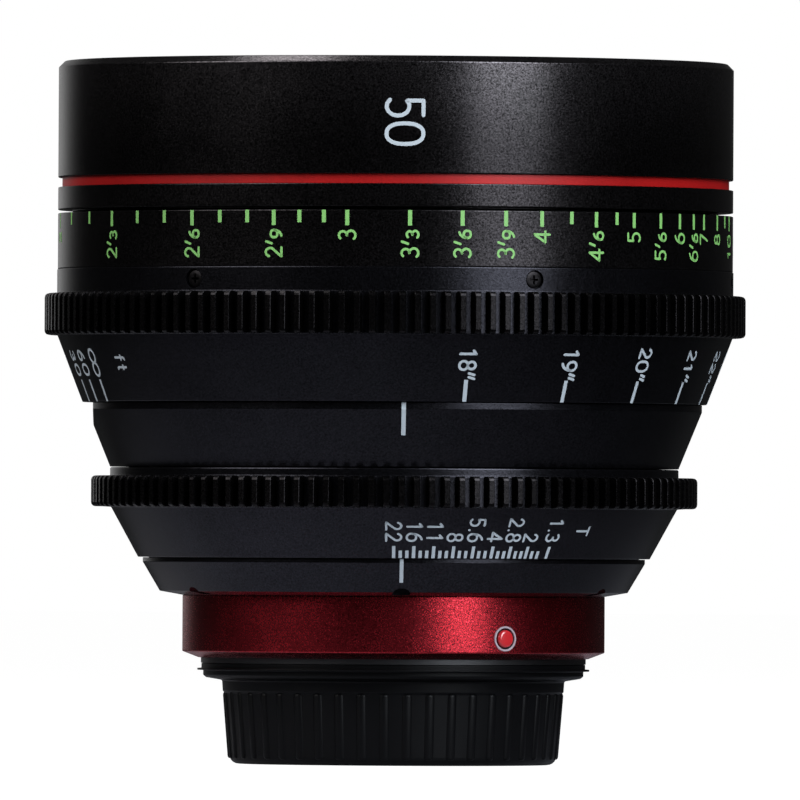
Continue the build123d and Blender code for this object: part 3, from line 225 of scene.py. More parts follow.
class LensColours(PropertyGroup):
    """Colours of the finishes, as linear values."""

    black: colour("Black", "Black anodising of the barrels", (0.0225, 0.0205, 0.0215))
    ring_black: colour("Ring black", "Black anodising of the cones", (0.0210, 0.0205, 0.0245))
    trap_black: colour("Light-trap black", "Matt paint inside the mouth", (0.0035, 0.0035, 0.0038))
    cap_black: colour("Cap black", "Moulded plastic of the cap", (0.0011, 0.0011, 0.0013))
    accent_red: colour("Accent red", "Thin ring near the front", (0.34, 0.007, 0.007))
    mount_red: colour("Mount red", "Anodised ring at the mount", (0.34, 0.022, 0.031))
    white: colour("White paint", "White marks", (0.44, 0.49, 0.53))
    green: colour("Green paint", "Green marks", (0.20, 0.47, 0.125))
    dot_red: colour("Dot red", "Mount index dot", (0.48, 0.015, 0.02))
    dot_ring: colour("Dot ring", "Pale ring round the dot", (0.36, 0.29, 0.32))
    bronze: colour("Bronze", "Bearing and helicoid bronze", (0.45, 0.27, 0.11))
    steel: colour("Steel", "Screws, pins and rods", (0.42, 0.42, 0.43))
    gold: colour("Gold", "Contact plating", (0.83, 0.58, 0.20))


class StudioSettings(PropertyGroup):
    """Camera and light of the photograph's view."""

    distance: length("Distance", "Camera distance from the lens's axis", 3400)
    eye_height: length("Eye height", "Camera height above the floor", 38)
    aim_height: length("Aim height", "Height that the picture's middle looks at", 61.5)
    aim_side: length("Aim side", "Sideways place that the picture's middle looks at", 0.9)
    focal: FloatProperty(name="Focal length", description="Camera focal length in millimetres", default=906.0)
    roll: FloatProperty(name="Roll", description="Camera roll", default=math.radians(0.3), subtype="ANGLE")
    key_power: FloatProperty(name="Key power", description="Right front softbox", default=14.0, unit="POWER")
    fill_power: FloatProperty(name="Fill power", description="Left strip", default=7.8, unit="POWER")
    top_power: FloatProperty(name="Top power", description="Overhead softbox", default=2.2, unit="POWER")


def sizes():
    """The lens's sizes, in millimetres."""
    group = bpy.context.scene.lens_sizes
    return SimpleNamespace(**{name: getattr(group, name) / MM for name in LensSizes.__annotations__})


def colours():
    """The lens's colours."""
    return bpy.context.scene.lens_colours


class Value:
    """A shader socket that Python arithmetic turns into Math nodes."""

    def __init__(self, tree, socket):
        self.tree = tree
        self.socket = socket

    def _math(self, operation, other, swap=False):
        node = self.tree.nodes.new("ShaderNodeMath")
        node.operation = operation
        first, second = (other, self) if swap else (self, other)
        for slot, value in enumerate((first, second)):
            if isinstance(value, Value):
                self.tree.links.new(value.socket, node.inputs[slot])
            elif value is not None:
                node.inputs[slot].default_value = value
        return Value(self.tree, node.outputs[0])

    def __add__(self, other):
        return self._math("ADD", other)

    __radd__ = __add__

    def __sub__(self, other):
        return self._math("SUBTRACT", other)

    def __rsub__(self, other):
        return self._math("SUBTRACT", other, swap=True)

    def __mul__(self, other):
        return self._math("MULTIPLY", other)

    __rmul__ = __mul__

    def __truediv__(self, other):
        return self._math("DIVIDE", other)

    def __pow__(self, other):
        return self._math("POWER", other)

    def at_least(self, edge):
        """The value, or the edge where that is larger."""
        return self._math("MAXIMUM", edge)

    def clamped(self):
        """The value, kept between 0 and 1."""
        result = self._math("ADD", 0.0)
        result.socket.node.use_clamp = True
        return result


class Nodes:
    """A node tree and one method that adds any node to it."""

    def __init__(self, tree):
        self.tree = tree
        tree.nodes.clear()

    def node(self, kind, settings=None, **inputs):
        """A node of a kind: its settings first, then its sockets' values or links, by name or number."""
        node = self.tree.nodes.new(kind)
        for key, value in (settings or {}).items():
            setattr(node, key, value)
        for key, value in inputs.items():
            self.put(node.inputs[int(key) if key.isdigit() else key.replace("_", " ")], value)
        return node

    def put(self, socket, value):
        """Links a value or a node's first output to a socket, or sets a plain number."""
        if isinstance(value, Value):
            self.tree.links.new(value.socket, socket)
        elif isinstance(value, bpy.types.Node):
            self.tree.links.new(value.outputs[0], socket)
        elif isinstance(value, bpy.types.NodeSocket):
            self.tree.links.new(value, socket)
        else:
            socket.default_value = value

    def value(self, node, output=0):
        """One of a node's outputs, for arithmetic."""
        return Value(self.tree, node.outputs[output])

    def places(self):
        """Object coordinates."""
        return self.node("ShaderNodeTexCoord").outputs["Object"]

    def split(self, places):
        """The X, Y and Z of a place."""
        parts = self.node("ShaderNodeSeparateXYZ", Vector=places)
        return [self.value(parts, axis) for axis in "XYZ"]

    def noise(self, size, detail=2.0, roughness=0.5, at=None):
        """Noise whose features are about a size in metres across."""
        node = self.node("ShaderNodeTexNoise", Vector=at or self.places(), Scale=1.0 / size, Detail=detail,
                         Roughness=roughness)
        return self.value(node, "Fac")

    def blend(self, factor, first, second, kind="MIX"):
        """Two colours mixed by a value."""
        node = self.node("ShaderNodeMix", {"data_type": "RGBA", "blend_type": kind})
        self.put(node.inputs["Factor"], factor)
        for socket, value in ((node.inputs[6], first), (node.inputs[7], second)):
            if hasattr(value, "__len__"):
                socket.default_value = tuple(value)[:3] + (1.0,)
            else:
                self.put(socket, value)
        return node.outputs[2]


class Finish(Nodes):
    """A material with one Principled shader."""

    def __init__(self, name):
        self.material = bpy.data.materials.new(name)
        self.material.use_nodes = True
        super().__init__(self.material.node_tree)
        self.shader = self.node("ShaderNodeBsdfPrincipled")
        self.output = self.node("ShaderNodeOutputMaterial", Surface=self.shader)

    def set(self, **inputs):
        """Sets or links the shader's own sockets."""
        for key, value in inputs.items():
            self.put(self.shader.inputs[key.replace("_", " ")], value)

    def bump(self, height, distance):
        """Bump from a value, into the shader's normal."""
        node = self.node("ShaderNodeBump", Strength=1.0, Distance=distance, Height=height)
        self.put(self.shader.inputs["Normal"], node.outputs["Normal"])


def shade(tint, share):
    """A colour made darker or lighter."""
    return tuple(c * share for c in tint)


def blasted_metal(name, tint, gloss, grain=0.3 * MM, depth=0.008 * MM, metal=0.95, sparkle=4.4,
                  painted_top_highlight=1.0):
    """Bead-blasted and anodised metal: fine sparkle, faint stains, and, if asked, a painted highlight: a
    colour that grows lighter towards the top.
    """
    finish = Finish(name)
    places = finish.places()
    fine = finish.noise(grain, 2.0, 0.6, places)
    coarse = finish.noise(9 * MM, 3.0, 0.55, places)
    # Painted highlight: the colour grows lighter with height, from the foot up over the rise, by the given
    # share.
    if painted_top_highlight > 1.0:
        height = finish.split(places)[2]
        climb = ((height - PAINTED_HIGHLIGHT_FOOT) / PAINTED_HIGHLIGHT_RISE).clamped() ** 1.4
        tint = finish.blend(climb, tint, shade(tint, painted_top_highlight))
    speckle = ((fine - 0.5) * sparkle + (coarse - 0.5) * 0.5 + 1.0).at_least(0.1)
    finish.set(Base_Color=finish.blend(1.0, tint, speckle, "MULTIPLY"), Metallic=metal,
               Specular_IOR_Level=0.3, Roughness=(coarse - 0.5) * 0.06 + (fine - 0.5) * 0.10 + gloss)
    finish.bump(fine, depth)
    return finish.material


def turned_metal(name, tint, gloss, line=0.09 * MM, depth=0.004 * MM):
    """Bare turned metal with fine tool lines round the axis."""
    finish = Finish(name)
    places = finish.places()
    x, y, z = finish.split(places)
    radius = (x * x + y * y) ** 0.5
    lines = finish.noise(line, 2.0, 0.6, finish.node("ShaderNodeCombineXYZ", X=radius, Z=z).outputs[0])
    stain = finish.noise(6 * MM, 3.0, 0.6, places)
    finish.set(Base_Color=finish.blend(stain, shade(tint, 0.82), tint), Metallic=1.0,
               Roughness=(lines - 0.5) * 0.16 + (stain - 0.5) * 0.10 + gloss)
    finish.bump(lines, depth)
    return finish.material


def moulded_plastic(name, tint, gloss, grain=0.3 * MM, depth=0.012 * MM):
    """Moulded plastic with a fine matt texture."""
    finish = Finish(name)
    places = finish.places()
    texture = finish.noise(grain, 3.0, 0.6, places)
    scuff = finish.noise(5 * MM, 4.0, 0.6, places)
    finish.set(Base_Color=finish.blend(scuff, tint, shade(tint, 1.5)), Roughness=(scuff - 0.5) * 0.14 + gloss,
               Specular_IOR_Level=0.09)
    finish.bump(texture, depth)
    return finish.material


def paint(name, tint, gloss=0.55):
    """Engraving paint, a little uneven."""
    finish = Finish(name)
    places = finish.places()
    uneven = finish.noise(0.5 * MM, 2.0, 0.5, places)
    finish.set(Base_Color=finish.blend(uneven, shade(tint, 0.86), tint),
               Roughness=(uneven - 0.5) * 0.1 + gloss)
    return finish.material


def trap_paint(name, tint):
    """Matt light-trap paint with a soft, dusty grain."""
    finish = Finish(name)
    places = finish.places()
    dust = finish.noise(0.12 * MM, 3.0, 0.7, places)
    cloud = finish.noise(12 * MM, 2.0, 0.5, places)
    finish.set(Base_Color=finish.blend((dust * 0.6 + cloud * 0.4).clamped(), tint, shade(tint, 2.2)),
               Roughness=(cloud - 0.5) * 0.08 + 0.72, Specular_IOR_Level=0.3)
    finish.bump(dust, 0.02 * MM)
    return finish.material


def coated_glass(name, tint, edge):
    """Clear glass whose coating tints what it mirrors."""
    finish = Finish(name)
    places = finish.places()
    smear = finish.noise(14 * MM, 3.0, 0.5, places)
    finish.set(Base_Color=tint, Transmission_Weight=1.0, IOR=1.52, Roughness=(smear - 0.4).clamped() * 0.015,
               Specular_Tint=(*edge, 1.0), Specular_IOR_Level=0.5)
    return finish.material


def glossy_paint(name, tint):
    """Hard glossy enamel."""
    finish = Finish(name)
    places = finish.places()
    wave = finish.noise(1.2 * MM, 2.0, 0.5, places)
    finish.set(Base_Color=finish.blend(wave, shade(tint, 0.8), tint), Roughness=(wave - 0.5) * 0.06 + 0.22,
               Coat_Weight=0.5, Coat_Roughness=0.08)
    return finish.material


def clear_selection():
    """Leaves edit mode and deselects everything."""
    if bpy.context.mode != "OBJECT":
        bpy.ops.object.mode_set(mode="OBJECT")
    bpy.ops.object.select_all(action="DESELECT")


def frame_node(name):
    """A CAD node's object."""
    return bpy.data.objects[name]


class Reach:
    """A CAD node's inner and outer radius, foot and top, in millimetres."""

    def __init__(self, name):
        corners = [corner.co / MM for corner in frame_node(name).data.vertices]
        radii = [corner.xy.length for corner in corners]
        heights = [corner.z for corner in corners]
        self.inner, self.outer = min(radii), max(radii)
        self.foot, self.top = min(heights), max(heights)


def front_angle(azimuth):
    """Angle about Z from +X of an azimuth counted from the front (-Y) towards +X."""
    return math.radians(azimuth - 90.0)


def rounded(outline, radius, steps=3):
    """An outline in millimetres with its corners rounded, by less where a side is short."""
    points = []
    count = len(outline)
    for i, corner in enumerate(outline):
        here = Vector(corner[:2])
        before = Vector(outline[i - 1][:2]) - here
        after = Vector(outline[(i + 1) % count][:2]) - here
        own = corner[2] if len(corner) > 2 else radius
        if own == 0 or here.x == 0 or before.length < 1e-6 or after.length < 1e-6:
            points.append(here)
            continue
        half = before.angle(after) / 2
        if half > math.radians(88):
            points.append(here)
            continue
        reach = min(own / math.tan(half), before.length * 0.45, after.length * 0.45)
        size = reach * math.tan(half)
        middle = here + (before.normalized() + after.normalized()).normalized() * (size / math.sin(half))
        start = here + before.normalized() * reach - middle
        sweep = math.pi - 2 * half
        turn = 1 if start.cross(here + after.normalized() * reach - middle) > 0 else -1
        for k in range(steps + 1):
            spun = start.copy()
            spun.rotate(Matrix.Rotation(turn * sweep * k / steps, 2))
            points.append(middle + spun)
    return points


def held(points, inset=0.05):
    """The points with one more near each end of a long straight side, so that its shading stays flat."""
    result = []
    for here, after in zip(points, points[1:] + points[:1]):
        result.append(here)
        side = after - here
        if side.length > 8 * inset and not (here.x == 0 and after.x == 0):
            step = side.normalized() * inset
            result += [here + step, after - step]
    return result


def turned(name, outline, radius=None, round_steps=3):
    """A piece turned about Z from an outline of (radius, height) in millimetres."""
    clear_selection()
    points = held(rounded(outline, sizes().edge_round if radius is None else radius, round_steps))
    if outline[0][0] == 0 and outline[-1][0] == 0:
        points = points[:len(points) - next(i for i, p in enumerate(reversed(points)) if p.x == 0)]
    bpy.ops.mesh.primitive_plane_add(size=MM)
    piece = bpy.context.object
    piece.name = piece.data.name = name
    bpy.ops.object.mode_set(mode="EDIT")
    bpy.ops.mesh.select_all(action="SELECT")
    bpy.ops.mesh.merge(type="CENTER")
    bpy.ops.transform.translate(value=(points[0].x * MM, 0, points[0].y * MM))
    for last, point in zip(points, points[1:]):
        step = (point - last) * MM
        bpy.ops.mesh.extrude_vertices_move(TRANSFORM_OT_translate={"value": (step.x, 0, step.y)})
    if points[0].x > 0 or points[-1].x > 0:
        shape = bmesh.from_edit_mesh(piece.data)
        shape.verts.ensure_lookup_table()
        for i, vertex in enumerate(shape.verts):
            vertex.select = i in (0, len(points) - 1)
        shape.select_flush_mode()
        bpy.ops.mesh.edge_face_add()
    bpy.ops.mesh.select_all(action="SELECT")
    bpy.ops.mesh.spin(steps=TURN_STEPS, angle=2 * math.pi, center=(0, 0, 0), axis=(0, 0, 1))
    bpy.ops.mesh.select_all(action="SELECT")
    bpy.ops.mesh.remove_doubles(threshold=0.0005 * MM)
    bpy.ops.mesh.normals_make_consistent(inside=False)
    bpy.ops.object.mode_set(mode="OBJECT")
    bpy.ops.object.shade_smooth_by_angle(angle=SMOOTH_ANGLE)
    return piece


def ring_outline(reach, *edge):
    """The outline of a plain ring, with its two outer edges rounded by a size if one is given."""
    return [(reach.inner, reach.foot), (reach.outer, reach.foot, *edge), (reach.outer, reach.top, *edge),
            (reach.inner, reach.top)]


def settle(piece):
    """Puts a piece's place, turn and size into its mesh."""
    clear_selection()
    piece.select_set(True)
    bpy.context.view_layer.objects.active = piece
    bpy.ops.object.transform_apply(location=True, rotation=True, scale=True)


def rod_out(name, radius, start, end, height, sides=48):
    """A round bar along +X, in millimetres."""
    clear_selection()
    bpy.ops.mesh.primitive_cylinder_add(vertices=sides, radius=radius * MM, depth=(end - start) * MM,
                                        location=((start + end) / 2 * MM, 0, height * MM),
                                        rotation=(0, math.pi / 2, 0))
    piece = bpy.context.object
    piece.name = piece.data.name = name
    settle(piece)
    return piece


def tube_out(name, inner, outer, start, end, height, sides=64):
    """A round tube along +X, in millimetres."""
    tube = rod_out(name, outer, start, end, height, sides)
    cut(tube, rod_out("bore", inner, start - TOOL_SPARE, end + TOOL_SPARE, height, sides))
    return tube


def block(name, low, high):
    """A box between two corners, in millimetres."""
    clear_selection()
    size = [(b - a) * MM for a, b in zip(low, high)]
    middle = [(a + b) / 2 * MM for a, b in zip(low, high)]
    bpy.ops.mesh.primitive_cube_add(size=1.0, location=middle, scale=size)
    piece = bpy.context.object
    piece.name = piece.data.name = name
    settle(piece)
    return piece


def turn_about_axis(piece, angle):
    """Turns a piece's mesh about Z."""
    piece.rotation_euler = (0, 0, angle)
    settle(piece)


def repeat_round(piece, count):
    """Copies all of a piece's mesh evenly round Z."""
    clear_selection()
    piece.select_set(True)
    bpy.context.view_layer.objects.active = piece
    bpy.ops.object.mode_set(mode="EDIT")
    bpy.ops.mesh.select_all(action="SELECT")
    bpy.ops.mesh.spin(steps=count - 1, dupli=True, angle=2 * math.pi * (count - 1) / count, center=(0, 0, 0),
                      axis=(0, 0, 1))
    bpy.ops.mesh.select_all(action="SELECT")
    bpy.ops.mesh.normals_make_consistent(inside=False)
    bpy.ops.object.mode_set(mode="OBJECT")


def cut(piece, tool, operation="DIFFERENCE"):
    """Cuts a tool out of a piece, and removes the tool."""
    clear_selection()
    piece.select_set(True)
    bpy.context.view_layer.objects.active = piece
    modifier = piece.modifiers.new("Cut", "BOOLEAN")
    modifier.operation = operation
    modifier.object = tool
    modifier.solver = "EXACT"
    bpy.ops.object.modifier_apply(modifier=modifier.name)
    bpy.data.objects.remove(tool, do_unlink=True)
    clear_selection()
    piece.select_set(True)
    bpy.context.view_layer.objects.active = piece
    bpy.ops.object.shade_smooth_by_angle(angle=SMOOTH_ANGLE)


def join(piece, *others):
    """Makes other pieces part of a piece."""
    clear_selection()
    for other in others:
        other.select_set(True)
    piece.select_set(True)
    bpy.context.view_layer.objects.active = piece
    bpy.ops.object.join()
    return piece


def soften(piece, width, segments=2, angle=30):
    """Bevels a piece's sharp edges."""
    clear_selection()
    piece.select_set(True)
    bpy.context.view_layer.objects.active = piece
    modifier = piece.modifiers.new("Bevel", "BEVEL")
    modifier.width = width * MM
    modifier.segments = segments
    modifier.limit_method = "ANGLE"
    modifier.angle_limit = math.radians(angle)
    bpy.ops.object.modifier_apply(modifier=modifier.name)
    bpy.ops.object.shade_smooth_by_angle(angle=SMOOTH_ANGLE)


def dress(piece, finish):
    """Gives all of a piece one finish."""
    piece.data.materials.clear()
    piece.data.materials.append(finish)
    for face in piece.data.polygons:
        face.material_index = 0


def finished(piece, finish, body, slot, *nodes):
    """Gives a piece its finish and its body, and hides the CAD nodes that it stands for."""
    if finish:
        dress(piece, finish)
    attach(piece, body)
    if nodes:
        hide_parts(*nodes)
    return piece


def gear_teeth(name, foot, top, count):
    """Straight gear teeth with rounded ends, tooth 0 at +X, in millimetres."""
    size = sizes()
    module = size.gear_module
    tip = module * count / 2 + module - size.tip_inset
    root = tip - module * TOOTH_DEPTH - TOOTH_SUNK
    tooth = block(name, (root, -size.tooth_root / 2, foot), (tip, size.tooth_root / 2, top))
    bpy.ops.object.mode_set(mode="EDIT")
    shape = bmesh.from_edit_mesh(tooth.data)
    middle = (root + tip) / 2 * MM
    bpy.ops.mesh.select_all(action="DESELECT")
    for vertex in shape.verts:
        if vertex.co.x > middle:
            vertex.co.y *= size.tooth_tip / size.tooth_root
    for edge in shape.edges:
        ends = [v.co for v in edge.verts]
        edge.select = all(v.x > middle for v in ends) and abs(ends[0].z - ends[1].z) < 0.01 * MM
    bmesh.update_edit_mesh(tooth.data)
    bpy.ops.mesh.bevel(offset=size.tooth_end_round * MM, segments=3, affect="EDGES")
    bpy.ops.object.mode_set(mode="OBJECT")
    soften(tooth, 0.07, 1, 40)
    bpy.ops.object.shade_flat()
    repeat_round(tooth, count)
    dress(tooth, material("teeth"))
    return tooth


def arc(cx, cy, rx, ry, start, end, steps=10):
    """Points of an arc in a glyph's unit box, between two angles in degrees."""
    turns = [math.radians(start + (end - start) * i / steps) for i in range(steps + 1)]
    return [(cx + rx * math.cos(t), cy + ry * math.sin(t)) for t in turns]


def oval(cx, cy, rx, ry, power, steps=28):
    """A closed stroke between an ellipse and a box, as a list of points whose last repeats the first."""
    points = []
    for i in range(steps + 1):
        turn = 2 * math.pi * i / steps
        along, up = (math.copysign(abs(part) ** power, part) for part in (math.cos(turn), math.sin(turn)))
        points.append((cx + rx * along, cy + ry * up))
    return points


TWO = arc(0.48, 0.71, 0.46, 0.29, 165, -25) + [(0.0, 0.0)]
SIX = [arc(0.92, 0.36, 0.9, 0.64, 100, 180), oval(0.5, 0.31, 0.5, 0.31, 0.9)]
GLYPHS = {
    "0": [oval(0.5, 0.5, 0.5, 0.5, 0.84)],
    "1": [[(0.58, 0.0), (0.58, 1.0)], [(0.58, 1.0), (0.2, 0.82)]],
    "2": [TWO, [(0.0, 0.0), (1.0, 0.0)]],
    "3": [arc(0.42, 0.76, 0.45, 0.24, 140, -90), arc(0.42, 0.27, 0.52, 0.27, 90, -140)],
    "4": [[(0.72, 1.0), (0.0, 0.28)], [(0.0, 0.28), (1.0, 0.28)], [(0.72, 1.0), (0.72, 0.0)]],
    "5": [[(0.92, 1.0), (0.05, 1.0)], [(0.05, 1.0), (0.05, 0.56)], arc(0.4, 0.31, 0.56, 0.31, 128, -135)],
    "6": SIX,
    "7": [[(0.0, 1.0), (1.0, 1.0)], [(1.0, 1.0), (0.35, 0.0)]],
    "8": [oval(0.5, 0.76, 0.42, 0.24, 0.95), oval(0.5, 0.26, 0.5, 0.26, 0.95)],
    "9": [[(1 - x, 1 - y) for x, y in stroke] for stroke in SIX],
    ".": [[(0.5, 0.0), (0.5, 0.02)]],
    "'": [[(0.0, 0.62), (1.0, 0.98)]],
    "\"": [[(0.0, 0.64), (0.3, 0.98)], [(0.7, 0.64), (1.0, 0.98)]],
    "T": [[(0.0, 1.0), (1.0, 1.0)], [(0.5, 1.0), (0.5, 0.0)]],
    "f": [arc(0.75, 0.8, 0.35, 0.2, 80, 180) + [(0.4, 0.0)], [(0.0, 0.62), (0.85, 0.62)]],
    "t": [[(0.4, 0.95), (0.4, 0.2)] + arc(0.7, 0.2, 0.3, 0.2, 180, 280), [(0.0, 0.62), (0.85, 0.62)]],
}
RAISED = "'\""
GLYPH_WIDTH = {"0": 1.12, "4": 1.16, "5": 0.94, ".": 0.2, "'": 0.4, "\"": 0.72, "f": 0.8, "t": 0.75}


def short_steps(points, longest):
    """The points with more put in, so that no step is longer than a length."""
    result = [Vector(points[0])]
    for point in points[1:]:
        last, point = result[-1], Vector(point)
        parts = max(1, math.ceil((point - last).length / longest))
        result.extend(last.lerp(point, k / parts) for k in range(1, parts + 1))
    return result


class Marks:
    """Painted strokes on a turned surface, as thin raised ribbons with round ends."""

    def __init__(self, name, profile):
        """The profile is a list of (height, radius) in millimetres, upwards."""
        self.name = name
        self.profile = profile
        self.shape = bmesh.new()

    def radius_at(self, height):
        for (low, first), (high, last) in zip(self.profile, self.profile[1:]):
            if height <= high:
                return first + (last - first) * (height - low) / (high - low)
        return self.profile[-1][1]

    def slope_at(self, height):
        """Height climbed per length along the surface."""
        for (low, first), (high, last) in zip(self.profile, self.profile[1:]):
            if height <= high:
                return (high - low) / math.hypot(high - low, last - first)
        return 1.0

    def point(self, azimuth, height, hand, along, across, lift):
        """A surface point: along runs down (hand 1) or up (hand -1), across to +azimuth (1) or back (-1)."""
        z = height - hand * along * self.slope_at(height)
        radius = self.radius_at(z)
        angle = front_angle(azimuth) + hand * across / radius
        return Vector(((radius + lift) * math.cos(angle), (radius + lift) * math.sin(angle), z)) * MM

    def stroke(self, azimuth, height, hand, points, width, longest=0.7, square=False):
        """One ribbon along a line of points in millimetres."""
        closed = square or (Vector(points[0]) - Vector(points[-1])).length < 1e-6
        line = short_steps(points, longest)
        half = width / 2
        rows = []
        count = len(line)
        for i, here in enumerate(line):
            before = line[i - 1] if i else (line[-2] if closed and not square else here)
            after = line[i + 1] if i + 1 < count else (line[1] if closed and not square else here)
            way = (after - before).normalized()
            side = Vector((-way.y, way.x))
            if not closed and i == 0:
                for turn in (0, 30, 60):
                    reach = math.radians(turn)
                    rows.append((here - way * half * math.cos(reach), side * half * math.sin(reach)))
            rows.append((here, side * half))
            if not closed and i + 1 == count:
                for turn in (60, 30, 0):
                    reach = math.radians(turn)
                    rows.append((here + way * half * math.cos(reach), side * half * math.sin(reach)))
        lift = sizes().mark_proud
        corners = []
        for middle, side in rows:
            ring = []
            for across, raise_by in ((side, lift), (-side, lift), (-side, -0.05), (side, -0.05)):
                place = middle + across
                corner = self.point(azimuth, height, hand, place.x, place.y, raise_by)
                ring.append(self.shape.verts.new(corner))
            corners.append(ring)
        for first, last in zip(corners, corners[1:]):
            for k in range(4):
                self.shape.faces.new((first[k], last[k], last[(k + 1) % 4], first[(k + 1) % 4]))

    def tick(self, azimuth, top, bottom, width):
        """A straight line with square ends down the surface between two heights."""
        ends = [(0.0, 0.0), ((top - bottom) / self.slope_at((top + bottom) / 2), 0.0)]
        self.stroke(azimuth, top, 1, ends, width, 0.2, square=True)

    def text(self, azimuth, end, hand, words, style):
        """Text in a lettering whose last glyph ends at a height; words are (text, size share) runs."""
        glyphs = [(c, share) for text, share in words for c in text]
        place = 0.0
        laid = []
        for c, share in reversed(glyphs):
            wide = style.width * share ** 0.5 * GLYPH_WIDTH.get(c, 1.0)
            laid.append((c, share, place - wide, wide))
            place -= wide + style.pitch - style.width
        half = style.line / 2
        for c, share, start, wide in laid:
            tall = style.height * share
            foot = -style.height / 2 + (style.height - tall if c in RAISED else 0.0)
            reach, rise = max(0.0, wide - style.line), tall - style.line
            for stroke in GLYPHS[c]:
                scaled = [(start + half + x * reach, foot + half + y * rise) for x, y in stroke]
                self.stroke(azimuth, end, hand, scaled, style.line)

    def infinity(self, azimuth, middle, size, line):
        """Two loops side by side along the surface."""
        for side in (-1, 1):
            loop = oval(side * size * 0.24, 0.0, size * 0.24, size * 0.22, 1.0)
            self.stroke(azimuth, middle, 1, loop, line)

    def made(self, finish, body, slot):
        """The finished object."""
        clear_selection()
        mesh = bpy.data.meshes.new(self.name)
        bmesh.ops.remove_doubles(self.shape, verts=self.shape.verts, dist=0.0002 * MM)
        bmesh.ops.holes_fill(self.shape, edges=[e for e in self.shape.edges if e.is_boundary], sides=4)
        bmesh.ops.recalc_face_normals(self.shape, faces=self.shape.faces)
        self.shape.to_mesh(mesh)
        self.shape.free()
        piece = bpy.data.objects.new(self.name, mesh)
        bpy.context.collection.objects.link(piece)
        return finished(piece, finish, body, slot)


MATERIALS = {}


def material(name):
    """A finish by name, made once."""
    if name not in MATERIALS:
        c = colours()
        makers = {
            # Front barrel: the black darkened below and lightened towards the rim, a painted highlight in its
            # colour.
            "front": lambda: blasted_metal("Front black", shade(c.black, 0.8), 0.23, painted_top_highlight=2.5),
            "barrel": lambda: blasted_metal("Barrel black", tuple(c.black), 0.23),
            "rings": lambda: blasted_metal("Ring black", tuple(c.ring_black), 0.24, sparkle=2.4),
            # Gear teeth: the barrel black darkened to half, painted shade on teeth of the same anodised metal
            # as their ring.
            "teeth": lambda: blasted_metal("Tooth black", shade(c.black, 0.5), 0.27, sparkle=2.4),
            "trap": lambda: trap_paint("Light-trap black", tuple(c.trap_black)),
            "accent": lambda: blasted_metal("Accent red", tuple(c.accent_red), 0.4, metal=0.2, sparkle=0.6),
            "mount": lambda: blasted_metal("Mount red", tuple(c.mount_red), 0.26, grain=0.22 * MM, metal=1.0,
                                           sparkle=3.8),
            "cap": lambda: moulded_plastic("Cap plastic", tuple(c.cap_black), 0.42),
            "white": lambda: paint("White paint", tuple(c.white)),
            "green": lambda: paint("Green paint", tuple(c.green)),
            "dot": lambda: glossy_paint("Dot enamel", tuple(c.dot_red)),
            "dot ring": lambda: paint("Dot ring", tuple(c.dot_ring), 0.4),
            "bronze": lambda: turned_metal("Bronze", tuple(c.bronze), 0.34),
            "steel": lambda: turned_metal("Steel", tuple(c.steel), 0.30),
            # Bayonet steel darkened to a tenth: painted shade, so that the flange shows a dark reflection.
            "mount steel": lambda: turned_metal("Mount steel", shade(c.steel, 0.1), 0.42),
            "screw": lambda: blasted_metal("Screw black", shade(c.black, 0.5), 0.36, sparkle=0.8),
            "blade": lambda: turned_metal("Blade steel", shade(c.steel, 0.12), 0.42),
            "gold": lambda: turned_metal("Contact gold", tuple(c.gold), 0.25),
            "glass": lambda: coated_glass("Coated glass", (0.98, 1.0, 0.99, 1.0), (0.62, 0.75, 1.0)),
            "inner": lambda: blasted_metal("Inner black", tuple(c.trap_black), 0.62, metal=0.0, sparkle=0.8),
        }
        MATERIALS[name] = makers[name]()
    return MATERIALS[name]


class LENS_OT_front_barrel(Operator):
    """Front barrel with its filter thread and chamfered rim"""

    bl_idname = "lens.front_barrel"
    bl_label = "Front barrel"

    def execute(self, context):
        size = sizes()
        barrel, hood = Reach("front_barrel"), Reach("hood_baffle")
        rim, pitch, crest = size.rim_round, size.thread_pitch, size.thread_radius
        valley, seat = crest + size.thread_depth, hood.outer + size.clearance
        outline = [(barrel.inner, barrel.foot), (barrel.outer, barrel.foot),
                   (barrel.outer, barrel.top - rim, 0.3), (barrel.outer - rim, barrel.top, 0.3),
                   (valley, barrel.top, 0.1)]
        height = barrel.top - size.thread_start
        while height - pitch > hood.top:
            outline += [(crest, height, 0.06), (crest, height - pitch * 0.25, 0.06),
                        (valley, height - pitch * 0.6, 0.06)]
            height -= pitch
        outline += [(crest, height, 0.0), (crest, hood.top), (seat, hood.top), (seat, hood.foot),
                    (barrel.inner, hood.foot)]
        piece = turned("front_barrel_finished", outline)
        finished(piece, material("front"), "barrel", "barrel_black", "front_barrel")
        return {"FINISHED"}


